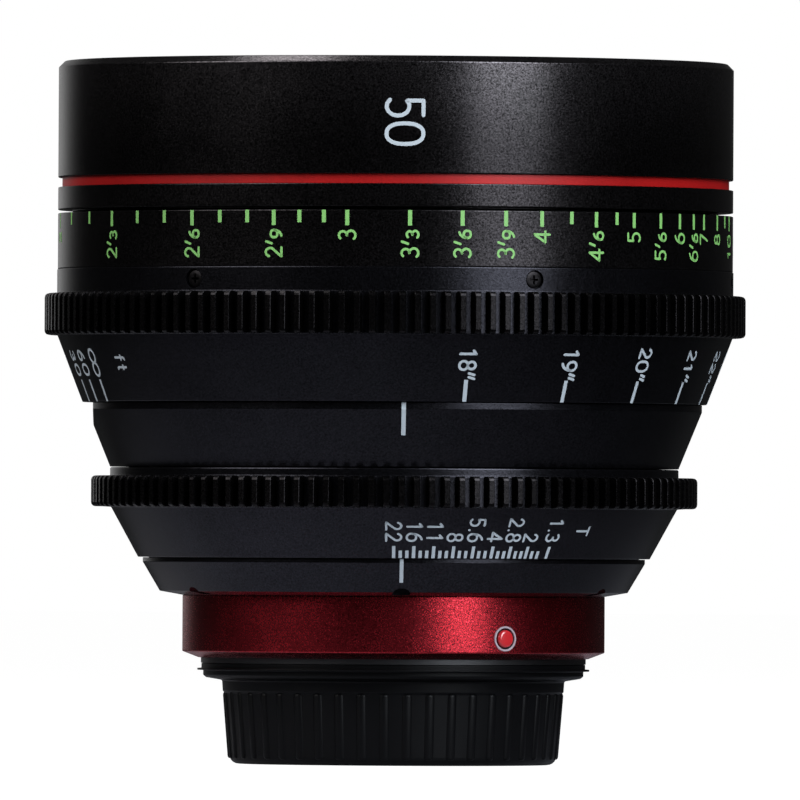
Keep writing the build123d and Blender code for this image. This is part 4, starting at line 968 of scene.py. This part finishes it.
class LENS_OT_mouth(Operator):
    """Stepped light trap in the mouth and the bezel round the front glass"""

    bl_idname = "lens.mouth"
    bl_label = "Mouth"

    def execute(self, context):
        size = sizes()
        hood = Reach("hood_baffle")
        floor = hood.foot + size.hood_wall
        rise = (hood.top - floor) / HOOD_STEPS
        run = (size.hood_mouth - hood.inner) / HOOD_STEPS
        outline = [(hood.outer, hood.foot), (hood.outer, hood.top)]
        for i in range(HOOD_STEPS):
            radius, top = size.hood_mouth - run * i, hood.top - rise * i
            outline += [(radius, top, 0.1), (radius, top - rise, 0.12)]
        outline += [(hood.inner, floor, 0.12), (hood.inner, hood.foot, 0.12)]
        trap = turned("hood_baffle_finished", outline)
        finished(trap, material("trap"), "barrel", "hood_black", "hood_baffle")

        bezel, shelf = Reach("front_bezel"), Reach("front_lens_barrel").top
        seat = Reach("lens_1").outer - size.clearance
        brim = Vector((size.brim_radius, bezel.top))
        neck = Vector((size.neck_radius, shelf + size.neck_rise))
        outline = [(bezel.inner, bezel.foot + size.throat_rise, 0.05), (seat, bezel.foot, 0.05),
                   (seat, shelf), (bezel.outer, shelf), (bezel.outer, bezel.top), (*brim, 0.2)]
        slope = neck - brim
        way = slope.normalized()
        inward = Vector((-way.y, way.x))
        pitch, place = size.groove_pitch, size.groove_start
        while place + pitch < slope.length - size.groove_end:
            start = brim + way * place
            bottom = start + way * pitch * 0.25 + inward * size.groove_depth
            outline += [(*start, 0.03), (*bottom, 0.0), (*(start + way * pitch * 0.5), 0.03)]
            place += pitch
        outline.append((*neck, 0.1))
        ring = turned("front_bezel_finished", outline)
        finished(ring, material("trap"), "lens_cell", "bezel_black", "front_bezel")
        return {"FINISHED"}


class LENS_OT_glass(Operator):
    """The eight glass elements with ground edges and smooth faces"""

    bl_idname = "lens.glass"
    bl_label = "Glass"

    def execute(self, context):
        for i in range(1, 9):
            node = frame_node(f"lens_{i}")
            piece = smooth_copy(node, f"lens_{i}_finished")
            finished(piece, material("glass"), "lens_cell", "glass", f"lens_{i}")
        return {"FINISHED"}


def smooth_copy(node, name, angle=25):
    """A copy of a CAD node with its triangles merged and its round faces smooth."""
    clear_selection()
    piece = bpy.data.objects.new(name, node.data.copy())
    bpy.context.collection.objects.link(piece)
    piece.data.name = name
    piece.select_set(True)
    bpy.context.view_layer.objects.active = piece
    bpy.ops.object.mode_set(mode="EDIT")
    bpy.ops.mesh.select_all(action="SELECT")
    bpy.ops.mesh.remove_doubles(threshold=0.001 * MM)
    bpy.ops.object.mode_set(mode="OBJECT")
    bpy.ops.object.shade_smooth_by_angle(angle=math.radians(angle))
    return piece


class LENS_OT_bands(Operator):
    """Accent ring, front band and scale band"""

    bl_idname = "lens.bands"
    bl_label = "Bands"

    def execute(self, context):
        size = sizes()
        band, scale = Reach("front_band"), Reach("focus_scale_band")
        accent = turned("accent_ring_finished", ring_outline(Reach("accent_ring")), 0.06)
        finished(accent, material("accent"), "barrel", "accent_red", "accent_ring")
        lip, floor = scale.top + size.band_gap, scale.top + size.inner_gap
        front = turned("front_band_finished", [
            (band.inner, floor), (size.gap_radius, floor), (size.gap_radius, lip), (band.outer, lip, 0.14),
            (band.outer, band.top, 0.14), (band.inner, band.top)])
        finished(front, material("barrel"), "barrel", "barrel_black", "front_band")
        painted = turned("scale_band_finished", ring_outline(scale, 0.14))
        finished(painted, material("barrel"), "focus_ring", "focus_black", "focus_scale_band")
        return {"FINISHED"}


class LENS_OT_focus_ring(Operator):
    """Focus ring with its cone, gear, screw band and six recessed screws"""

    bl_idname = "lens.focus_ring"
    bl_label = "Focus ring"

    def execute(self, context):
        size = sizes()
        ring, band = Reach("focus_ring"), Reach("focus_scale_band")
        foot, top, root = size.focus_gear_foot, size.focus_gear_top, size.focus_gear_root
        step = Reach("helicoid_ring").foot - size.clearance
        turning = turned("focus_ring_finished", [
            (ring.inner, ring.foot), (size.focus_cone_foot, ring.foot, 0.2),
            (band.outer, foot - size.gear_ledge, 0.12), (root, foot, 0.05), (root, top, 0.05),
            (size.screw_band, top, 0.15), (size.screw_band, ring.top, 0.16), (band.inner, ring.top),
            (band.inner, step), (ring.inner, step)])
        level = size.screw_height
        seats = rod_out("seats", size.screw_seat, band.outer - size.seat_depth, band.outer + TOOL_SPARE,
                        level, 40)
        repeat_round(seats, BAND_SCREWS)
        turn_about_axis(seats, front_angle(SCREW_AZIMUTH))
        cut(turning, seats)
        dress(turning, material("rings"))
        join(turning, gear_teeth("focus_teeth", foot, top, FOCUS_TEETH))
        finished(turning, None, "focus_ring", "focus_black", "focus_ring")

        head = band.outer - size.screw_sunk
        screws = rod_out("scale_band_screws_finished", size.screw_radius, size.screw_foot, head, level, 40)
        soften(screws, 0.12, 2)
        for along, up in ((size.slot_length, size.slot_width), (size.slot_width, size.slot_length)):
            cut(screws, block("slot", (head - size.slot_depth, -along / 2, level - up / 2),
                              (head + TOOL_SPARE, along / 2, level + up / 2)))
        repeat_round(screws, BAND_SCREWS)
        turn_about_axis(screws, front_angle(SCREW_AZIMUTH))
        finished(screws, material("screw"), "focus_ring", "screw_black", "scale_band_screws")
        return {"FINISHED"}


class LENS_OT_index_barrel(Operator):
    """Fixed barrel between the rings, with its milled flat"""

    bl_idname = "lens.index_barrel"
    bl_label = "Index barrel"

    def execute(self, context):
        size = sizes()
        barrel = Reach("index_barrel")
        bore = Reach("main_barrel").outer + size.clearance
        collar = bore + size.turning_gap
        foot = Reach("iris_ring").top + size.waist_gap
        top = Reach("focus_ring").foot - size.turning_gap
        turning = turned("index_barrel_finished", [
            (barrel.inner, barrel.foot), (size.index_step, barrel.foot), (size.index_step, foot),
            (size.waist_radius, foot, 0.1), (barrel.outer, size.index_corner, 0.3), (barrel.outer, top, 0.12),
            (collar, top), (collar, barrel.top), (bore, barrel.top),
            (bore, size.index_floor), (barrel.inner, size.index_floor)])
        wide = barrel.outer + TOOL_SPARE
        cut(turning, block("flat", (-wide, -wide, foot - TOOL_SPARE),
                           (-size.flat_distance, wide, top + TOOL_SPARE)))
        finished(turning, material("rings"), "barrel", "barrel_black", "index_barrel")
        return {"FINISHED"}


class LENS_OT_iris_ring(Operator):
    """Iris ring with its gear and rear cone"""

    bl_idname = "lens.iris_ring"
    bl_label = "Iris ring"

    def execute(self, context):
        size = sizes()
        ring = Reach("iris_ring")
        foot, top, root = size.iris_gear_foot, size.iris_gear_top, size.iris_gear_root
        turning = turned("iris_ring_finished", [
            (ring.inner, ring.foot), (size.iris_cone_foot, ring.foot, 0.2),
            (size.iris_cone_top, foot - size.gear_ledge, 0.2), (root, foot, 0.1), (root, top, 0.1),
            (size.waist_radius, top, 0.1), (size.waist_radius, ring.top, 0.25), (ring.inner, ring.top)])
        dress(turning, material("rings"))
        join(turning, gear_teeth("iris_teeth", foot, top, IRIS_TEETH))
        finished(turning, None, "iris_ring", "iris_black", "iris_ring")
        return {"FINISHED"}


class LENS_OT_rear(Operator):
    """Rear cone with its notches, mount ring and index dot"""

    bl_idname = "lens.rear"
    bl_label = "Rear"

    def execute(self, context):
        size = sizes()
        cone, ring = Reach("rear_cone"), Reach("mount_ring")
        shelf = ring.foot + size.mount_lip
        tube = ring.inner - size.clearance
        top = Reach("iris_ring").foot - size.turning_gap
        turning = turned("rear_cone_finished", [
            (cone.inner, shelf), (tube, shelf), (tube, ring.top), (size.rear_foot, ring.top, 0.15),
            (size.rear_knee, size.rear_knee_height, 0.15), (cone.outer, size.rear_corner, 0.2),
            (cone.outer, top, 0.08), (size.rear_bore, top), (size.rear_bore, cone.top),
            (cone.inner, cone.top)])
        notches = rod_out("notches", size.notch_radius, size.notch_foot, cone.outer, 0.0, 32)
        notches.scale = (1.0, 1.0, 0.7)
        notches.location = (0, 0, size.notch_height * MM)
        settle(notches)
        repeat_round(notches, NOTCHES)
        turn_about_axis(notches, front_angle(NOTCH_AZIMUTH))
        cut(turning, notches)
        finished(turning, material("rings"), "barrel", "barrel_black", "rear_cone")

        bore = Reach("bayonet_mount").outer + size.clearance
        red = turned("mount_ring_finished", [
            (bore, ring.foot), (size.mount_face, ring.foot, 0.1), (size.mount_radius, size.mount_corner, 0.2),
            (size.mount_radius, ring.top, 0.12), (ring.inner, ring.top), (ring.inner, shelf), (bore, shelf)])
        level, floor = size.dot_height, size.dot_floor
        hole = rod_out("hole", size.dot_ring_radius + 0.05, floor - 0.1, size.mount_radius + TOOL_SPARE,
                       level)
        seat = tube_out("mount_dot_seat", size.dot_radius + size.clearance,
                        size.dot_ring_bore - size.clearance, floor, size.dot_seat_top, level)
        washer = tube_out("mount_dot_ring_finished", size.dot_ring_bore, size.dot_ring_radius,
                          floor, size.dot_ring_top, level)
        soften(washer, 0.06, 1)
        dot = rod_out("mount_dot_finished", size.dot_radius, floor, size.dot_top, level, 64)
        soften(dot, 0.55, 5)
        for piece in (hole, seat, washer, dot):
            turn_about_axis(piece, front_angle(DOT_AZIMUTH))
        cut(red, hole)
        finished(red, material("mount"), "barrel", "mount_red", "mount_ring")
        finished(seat, material("screw"), "barrel", "screw_black")
        finished(washer, material("dot ring"), "barrel", "mark_white", "mount_dot_ring")
        finished(dot, material("dot"), "barrel", "mark_red", "mount_dot")
        return {"FINISHED"}


class LENS_OT_rear_cap(Operator):
    """Rear cap with its ribs and thin lip"""

    bl_idname = "lens.rear_cap"
    bl_label = "Rear cap"

    def execute(self, context):
        size = sizes()
        top, grip = Reach("rear_cap").top, size.cap_grip_height
        cap = turned("rear_cap_finished", [
            (0, 0), (size.cap_foot, 0, 1.5), (size.cap_grip, grip, 0.15), (28.78, grip + 0.4, 0.2),
            (28.9, 14.1, 0.35), (31.6, 14.55, 0.5), (size.cap_flange, 14.95, 0.3),
            (size.cap_flange, 15.75, 0.1), (size.cap_lip, 15.8, 0.1), (size.cap_lip, 16.1, 0.1),
            (size.cap_rim, 16.15, 0.05), (size.cap_rim, top, 0.15), (size.cap_mouth, top),
            (size.cap_mouth, grip + 0.2), (size.cap_bore, 11.3), (size.cap_bore, size.cap_wall),
            (0, size.cap_wall)], 0.2, 5)
        clear_selection()
        bpy.ops.mesh.primitive_cylinder_add(vertices=20, radius=size.rib_radius * MM,
                                            depth=size.rib_length * MM)
        ribs = bpy.context.object
        ribs.name = "ribs"
        soften(ribs, 0.5, 3, 60)
        ribs.scale = (0.6, 0.95, 1.0)
        ribs.rotation_euler = (0, math.atan2(size.cap_grip - size.cap_foot, grip), 0)
        ribs.location = (size.rib_distance * MM, 0, size.rib_height * MM)
        settle(ribs)
        repeat_round(ribs, CAP_RIBS)
        turn_about_axis(ribs, math.radians(0.8))
        join(cap, ribs)
        bpy.ops.object.shade_smooth_by_angle(angle=math.radians(35))
        finished(cap, material("cap"), "rear_cap", "cap_plastic", "rear_cap")
        return {"FINISHED"}


def scale_azimuth(inches, far, travel):
    """Azimuth of a distance on a focus scale, from -180 to 180 degrees."""
    azimuth = far - travel / (inches - NEAR_OFFSET)
    return azimuth - 360 if azimuth > 180 else azimuth


class LENS_OT_marks(Operator):
    """Index lines, focus scales, T scale and the focal length's number"""

    bl_idname = "lens.marks"
    bl_label = "Marks"

    def execute(self, context):
        self.fixed_marks()
        self.white_scale()
        self.green_scale()
        self.stop_scale()
        return {"FINISHED"}

    def fixed_marks(self):
        """The focal length's number and the two index lines."""
        size = sizes()
        barrel, cone = Reach("front_barrel"), Reach("rear_cone")
        front = Marks("front_number", [(barrel.foot, barrel.outer), (barrel.top, barrel.outer)])
        front.text(NUMBER_AZIMUTH, NUMBER_END, 1, [("50", 1.0)], FRONT_NUMBER)
        front.made(material("white"), "barrel", "mark_white")

        index, top = Reach("index_barrel"), Reach("focus_ring").foot - size.turning_gap
        line = Marks("barrel_index", [(index.foot, size.index_mark_foot), (size.index_corner, index.outer),
                                      (top, index.outer)])
        line.tick(INDEX_AZIMUTH, INDEX_TOP, INDEX_FOOT, size.index_width)
        line.made(material("white"), "barrel", "mark_white")

        top = Reach("iris_ring").foot - size.turning_gap
        rear = Marks("rear_index", [(size.rear_knee_height, size.rear_knee), (size.rear_corner, cone.outer),
                                    (top, cone.outer)])
        rear.tick(REAR_INDEX_AZIMUTH, REAR_INDEX_TOP, REAR_INDEX_FOOT, size.index_width * 0.88)
        rear.made(material("white"), "barrel", "mark_white")

    def white_scale(self):
        """Distances on the focus ring's cone, for reading beside the index barrel."""
        size = sizes()
        ring, band = Reach("focus_ring"), Reach("focus_scale_band")
        white = Marks("focus_scale_inches", [(ring.foot, size.focus_cone_foot),
                                             (size.focus_gear_foot - size.gear_ledge, band.outer)])
        labels = [(d, [(str(d), 1.0), ('"', 1.0)]) for d in range(18, 24)]
        labels += [(inches, [(words, 1.0)]) for inches, words in (
            (24, "2"), (27, "2'3"), (30, "2'6"), (36, "3"), (42, "3'6"), (48, "4"), (60, "5"), (72, "6"),
            (96, "8"), (120, "10"), (180, "15"), (360, "30"), (720, "60"))]
        for inches, words in labels:
            azimuth = scale_azimuth(inches, WHITE_FAR, WHITE_TRAVEL)
            end, style = (INCH_LABEL_END, INCH_LABELS) if inches < 24 else (FAR_LABEL_END, FAR_LABELS)
            white.tick(azimuth, WHITE_TICK_TOP, WHITE_TICK_FOOT, size.tick_width)
            white.text(azimuth, end, 1, words, style)
        azimuth = scale_azimuth(math.inf, WHITE_FAR, WHITE_TRAVEL)
        white.tick(azimuth, WHITE_TICK_TOP, WHITE_TICK_FOOT, size.tick_width)
        white.infinity(azimuth, WHITE_INFINITY, WHITE_INFINITY_SIZE, FAR_LABELS.line)
        white.text(azimuth + UNIT_TURN, UNIT_END, 1, [("ft", 1.0)], UNIT_LABEL)
        white.made(material("white"), "focus_ring", "mark_white")

    def green_scale(self):
        """Distances in feet and inches on the scale band."""
        size = sizes()
        band = Reach("focus_scale_band")
        green = Marks("focus_scale_feet", [(band.foot, band.outer), (band.top, band.outer)])
        named = {18, 20, 22, 24, *range(27, 49, 3), *range(54, 85, 6), 96, 120, 180}
        for inches in (*range(18, 37), *range(39, 60, 3), *range(60, 85, 6), 96, 108, 120, 180, 360):
            azimuth = scale_azimuth(inches, GREEN_FAR, GREEN_TRAVEL)
            foot = GREEN_TICK_FOOT if inches in named else GREEN_SHORT_FOOT
            green.tick(azimuth, GREEN_TICK_TOP, foot, size.tick_width)
            if inches in named:
                feet, rest = divmod(inches, 12)
                words = [(str(feet), 1.0)] + ([("'", 1.0), (str(rest), 0.73)] if rest else [])
                green.text(azimuth, GREEN_LABEL_END, -1, words, GREEN_LABELS)
        azimuth = scale_azimuth(math.inf, GREEN_FAR, GREEN_TRAVEL)
        green.tick(azimuth, GREEN_TICK_TOP, GREEN_TICK_FOOT, size.tick_width)
        green.infinity(azimuth, GREEN_INFINITY, GREEN_INFINITY_SIZE, GREEN_INFINITY_LINE)
        green.made(material("green"), "focus_ring", "mark_white")

    def stop_scale(self):
        """T stops in thirds on the iris ring's cone."""
        size = sizes()
        ring = Reach("iris_ring")
        stops = Marks("iris_scale", [(ring.foot, size.iris_cone_foot),
                                     (size.iris_gear_foot - size.gear_ledge, size.iris_cone_top)])
        names = {"22": -0.04, "16": 4.33, "11": 8.68, "8": 13.05, "5.6": 17.5, "4": 21.95, "2.8": 26.2,
                 "2": 30.4, "1.3": 35.9}
        for name, azimuth in names.items():
            stops.tick(azimuth, STOP_TOP, STOP_FOOT, size.stop_width)
            stops.text(azimuth, STOP_LABEL_END, 1, [(name, 1.0)], STOP_LABELS)
            for third in (1, 2) if name != "1.3" else ():
                stops.tick(azimuth + STOP_STEP * third / 3, STOP_THIRD_TOP, STOP_FOOT, size.stop_width)
        stops.text(STOP_LETTER_AZIMUTH, STOP_LETTER_END, 1, [("T", 1.0)], STOP_LETTER)
        stops.made(material("white"), "iris_ring", "mark_white")


INNER = {
    "inner": ("main_barrel iris_bearing_tube focus_cell front_lens_barrel cell_lock_ring front_spacer "
              "middle_spacer rear_lens_barrel lens_6_ring rear_spacer rear_lock_ring iris_housing "
              "rear_baffle iris_cam_ring front_thrust_ring"),
    "steel": "barrel_screws tube_screws mount_screws follower_pins iris_drive_rod focus_stop_key",
    "mount steel": "bayonet_mount",
    "bronze": "helicoid_ring",
    "cap": "contact_block",
    "gold": "contact_pins",
    "blade": " ".join(f"iris_blade_{i}" for i in range(1, 12)),
}


class LENS_OT_inner_pieces(Operator):
    """Finishes of the pieces inside the barrel and the mount"""

    bl_idname = "lens.inner_pieces"
    bl_label = "Inner pieces"

    def execute(self, context):
        for finish, names in INNER.items():
            for name in names.split():
                node = frame_node(name)
                node.data.materials.clear()
                node.data.materials.append(material(finish))
        return {"FINISHED"}


def softbox(name, azimuth, height, distance, width, tall, power, spread=140.0, tint=(1.0, 1.0, 1.0)):
    """An area lamp on a circle round the lens, facing it."""
    lamp = bpy.data.lights.new(name, "AREA")
    lamp.shape = "RECTANGLE"
    lamp.size, lamp.size_y = width, tall
    lamp.energy = power
    lamp.spread = math.radians(spread)
    lamp.color = tint
    place = bpy.data.objects.new(name, lamp)
    bpy.context.collection.objects.link(place)
    angle = front_angle(azimuth)
    place.location = (distance * math.cos(angle), distance * math.sin(angle), height)
    facing = Vector((0, 0, 0.06)) - place.location
    place.rotation_euler = facing.to_track_quat("-Z", "Y").to_euler()
    return place


FLOOR_SIZE = 14.0
FLOOR_PALE, FLOOR_PALEST = (0.74, 0.75, 0.77), (0.78, 0.79, 0.81)
# Colours that rays other than the camera's see: painted shade away from the lens and a painted pool of light
# round it.
FLOOR_PAINTED_SHADE, FLOOR_PAINTED_POOL = (0.02, 0.02, 0.02), (0.45, 0.45, 0.49)
POOL_RADIUS, POOL_EDGE = 0.24, 0.17
PATCH_DIRECTION, PATCH_EDGE = (-0.26, 0.96, 0.0), 0.85
PATCH_LIGHT, ROOM_LIGHT = 0.6, 0.02


class LENS_OT_studio(Operator):
    """Camera, white floor and soft lamps of the photograph"""

    bl_idname = "lens.studio"
    bl_label = "Studio"

    def execute(self, context):
        scene = context.scene
        view = self.camera(scene)
        floor = self.floor()
        self.backdrop(scene)
        studio = scene.lens_studio
        lamps = [
            softbox("Key softbox", azimuth=38.4, height=0.93, distance=1.5, width=0.85, tall=1.9,
                    power=studio.key_power, spread=80.0, tint=(0.87, 0.93, 1.0)),
            softbox("Left softbox", azimuth=-62.0, height=1.15, distance=1.5, width=1.5, tall=1.5,
                    power=studio.fill_power, spread=80.0),
            softbox("Top softbox", azimuth=-107.0, height=1.53, distance=0.47, width=0.4, tall=0.4,
                    power=studio.top_power),
        ]
        return {"FINISHED"}

    def camera(self, scene):
        """The photograph's camera, far off and just above the floor."""
        studio = scene.lens_studio
        camera = bpy.data.cameras.new("Camera")
        camera.lens = studio.focal
        camera.sensor_width = 36.0
        camera.clip_start, camera.clip_end = 0.1, 50.0
        view = bpy.data.objects.new("Camera", camera)
        scene.collection.objects.link(view)
        view.location = (studio.aim_side, -studio.distance, studio.eye_height)
        tilt = math.atan2(studio.aim_height - studio.eye_height, studio.distance)
        turn = Matrix.Rotation(math.pi / 2 + tilt, 3, "X") @ Matrix.Rotation(studio.roll, 3, "Z")
        view.rotation_euler = turn.to_euler()
        scene.camera = view
        scene.view_settings.view_transform = "Standard"
        return view

    def floor(self):
        """A floor that the camera sees pale; for other rays its colour is painted shade, with a painted pool
        of light near the lens, brighter towards -X.
        """
        clear_selection()
        bpy.ops.mesh.primitive_plane_add(size=FLOOR_SIZE, location=(0, 0, -0.02 * MM))
        floor = bpy.context.object
        floor.name = "Floor"
        ground = Finish("White floor")
        seen = ground.value(ground.node("ShaderNodeLightPath"), "Is Camera Ray")
        grain = ground.noise(0.4, 2.0, 0.5)
        x, y, _ = ground.split(ground.places())
        away = (x * x + y * y) ** 0.5
        # Painted pool of light round the lens: it fades out by the pool radius and is brighter towards -X.
        near = ((POOL_RADIUS - away) / POOL_EDGE).clamped() ** 1.6
        lit = near * (x * -4.6 + 0.82).clamped()
        painted_bounce = ground.blend(lit, FLOOR_PAINTED_SHADE, FLOOR_PAINTED_POOL)
        pale = ground.blend(grain, FLOOR_PALE, FLOOR_PALEST)
        ground.set(Base_Color=ground.blend(seen, painted_bounce, pale), Roughness=0.9, Specular_IOR_Level=0.1)
        glow = ground.node("ShaderNodeEmission", Color=(1.0, 1.0, 1.0, 1.0), Strength=1.10)
        mixed = ground.node("ShaderNodeMixShader", **{"0": seen * 0.9, "1": ground.shader, "2": glow})
        ground.put(ground.output.inputs["Surface"], mixed)
        floor.data.materials.append(ground.material)
        return floor

    def backdrop(self, scene):
        """White for the camera, and for other rays dark with one bright patch behind the lens."""
        world = bpy.data.worlds.new("Studio")
        scene.world = world
        world.use_nodes = True
        nodes = Nodes(world.node_tree)
        way = nodes.node("ShaderNodeTexCoord").outputs["Generated"]
        toward = nodes.node("ShaderNodeVectorMath", {"operation": "DOT_PRODUCT"},
                            **{"0": way, "1": PATCH_DIRECTION})
        patch = ((nodes.value(toward, "Value") - PATCH_EDGE) / (1 - PATCH_EDGE)).clamped() ** 3.0
        seen = nodes.value(nodes.node("ShaderNodeLightPath"), "Is Camera Ray")
        strength = nodes.node("ShaderNodeMix", **{"0": seen, "2": patch * PATCH_LIGHT + ROOM_LIGHT, "3": 1.0})
        light = nodes.node("ShaderNodeBackground", Color=(1.0, 1.0, 1.0, 1.0), Strength=strength)
        nodes.node("ShaderNodeOutputWorld", Surface=light)


PIECES = (LENS_OT_front_barrel, LENS_OT_mouth, LENS_OT_glass, LENS_OT_bands, LENS_OT_focus_ring,
          LENS_OT_index_barrel, LENS_OT_iris_ring, LENS_OT_rear, LENS_OT_rear_cap, LENS_OT_marks,
          LENS_OT_inner_pieces, LENS_OT_studio)


class LENS_PT_pieces(Panel):
    """Lists the steps that finish the lens"""

    bl_idname = "LENS_PT_pieces"
    bl_label = "Cinema prime lens"
    bl_space_type = "VIEW_3D"
    bl_region_type = "UI"
    bl_category = "Lens"

    def draw(self, context):
        column = self.layout.column(align=True)
        for step in PIECES:
            column.operator(step.bl_idname)


def register():
    for kind in (LensSizes, LensColours, StudioSettings, *PIECES, LENS_PT_pieces):
        bpy.utils.register_class(kind)
    bpy.types.Scene.lens_sizes = PointerProperty(type=LensSizes)
    bpy.types.Scene.lens_colours = PointerProperty(type=LensColours)
    bpy.types.Scene.lens_studio = PointerProperty(type=StudioSettings)


def unregister():
    del bpy.types.Scene.lens_studio
    del bpy.types.Scene.lens_colours
    del bpy.types.Scene.lens_sizes
    for kind in (LENS_PT_pieces, *reversed(PIECES), StudioSettings, LensColours, LensSizes):
        bpy.utils.unregister_class(kind)


def main():
    register()
    for step in PIECES:
        group, name = step.bl_idname.split(".")
        getattr(getattr(bpy.ops, group), name)()


if __name__ == "__main__":
    main()
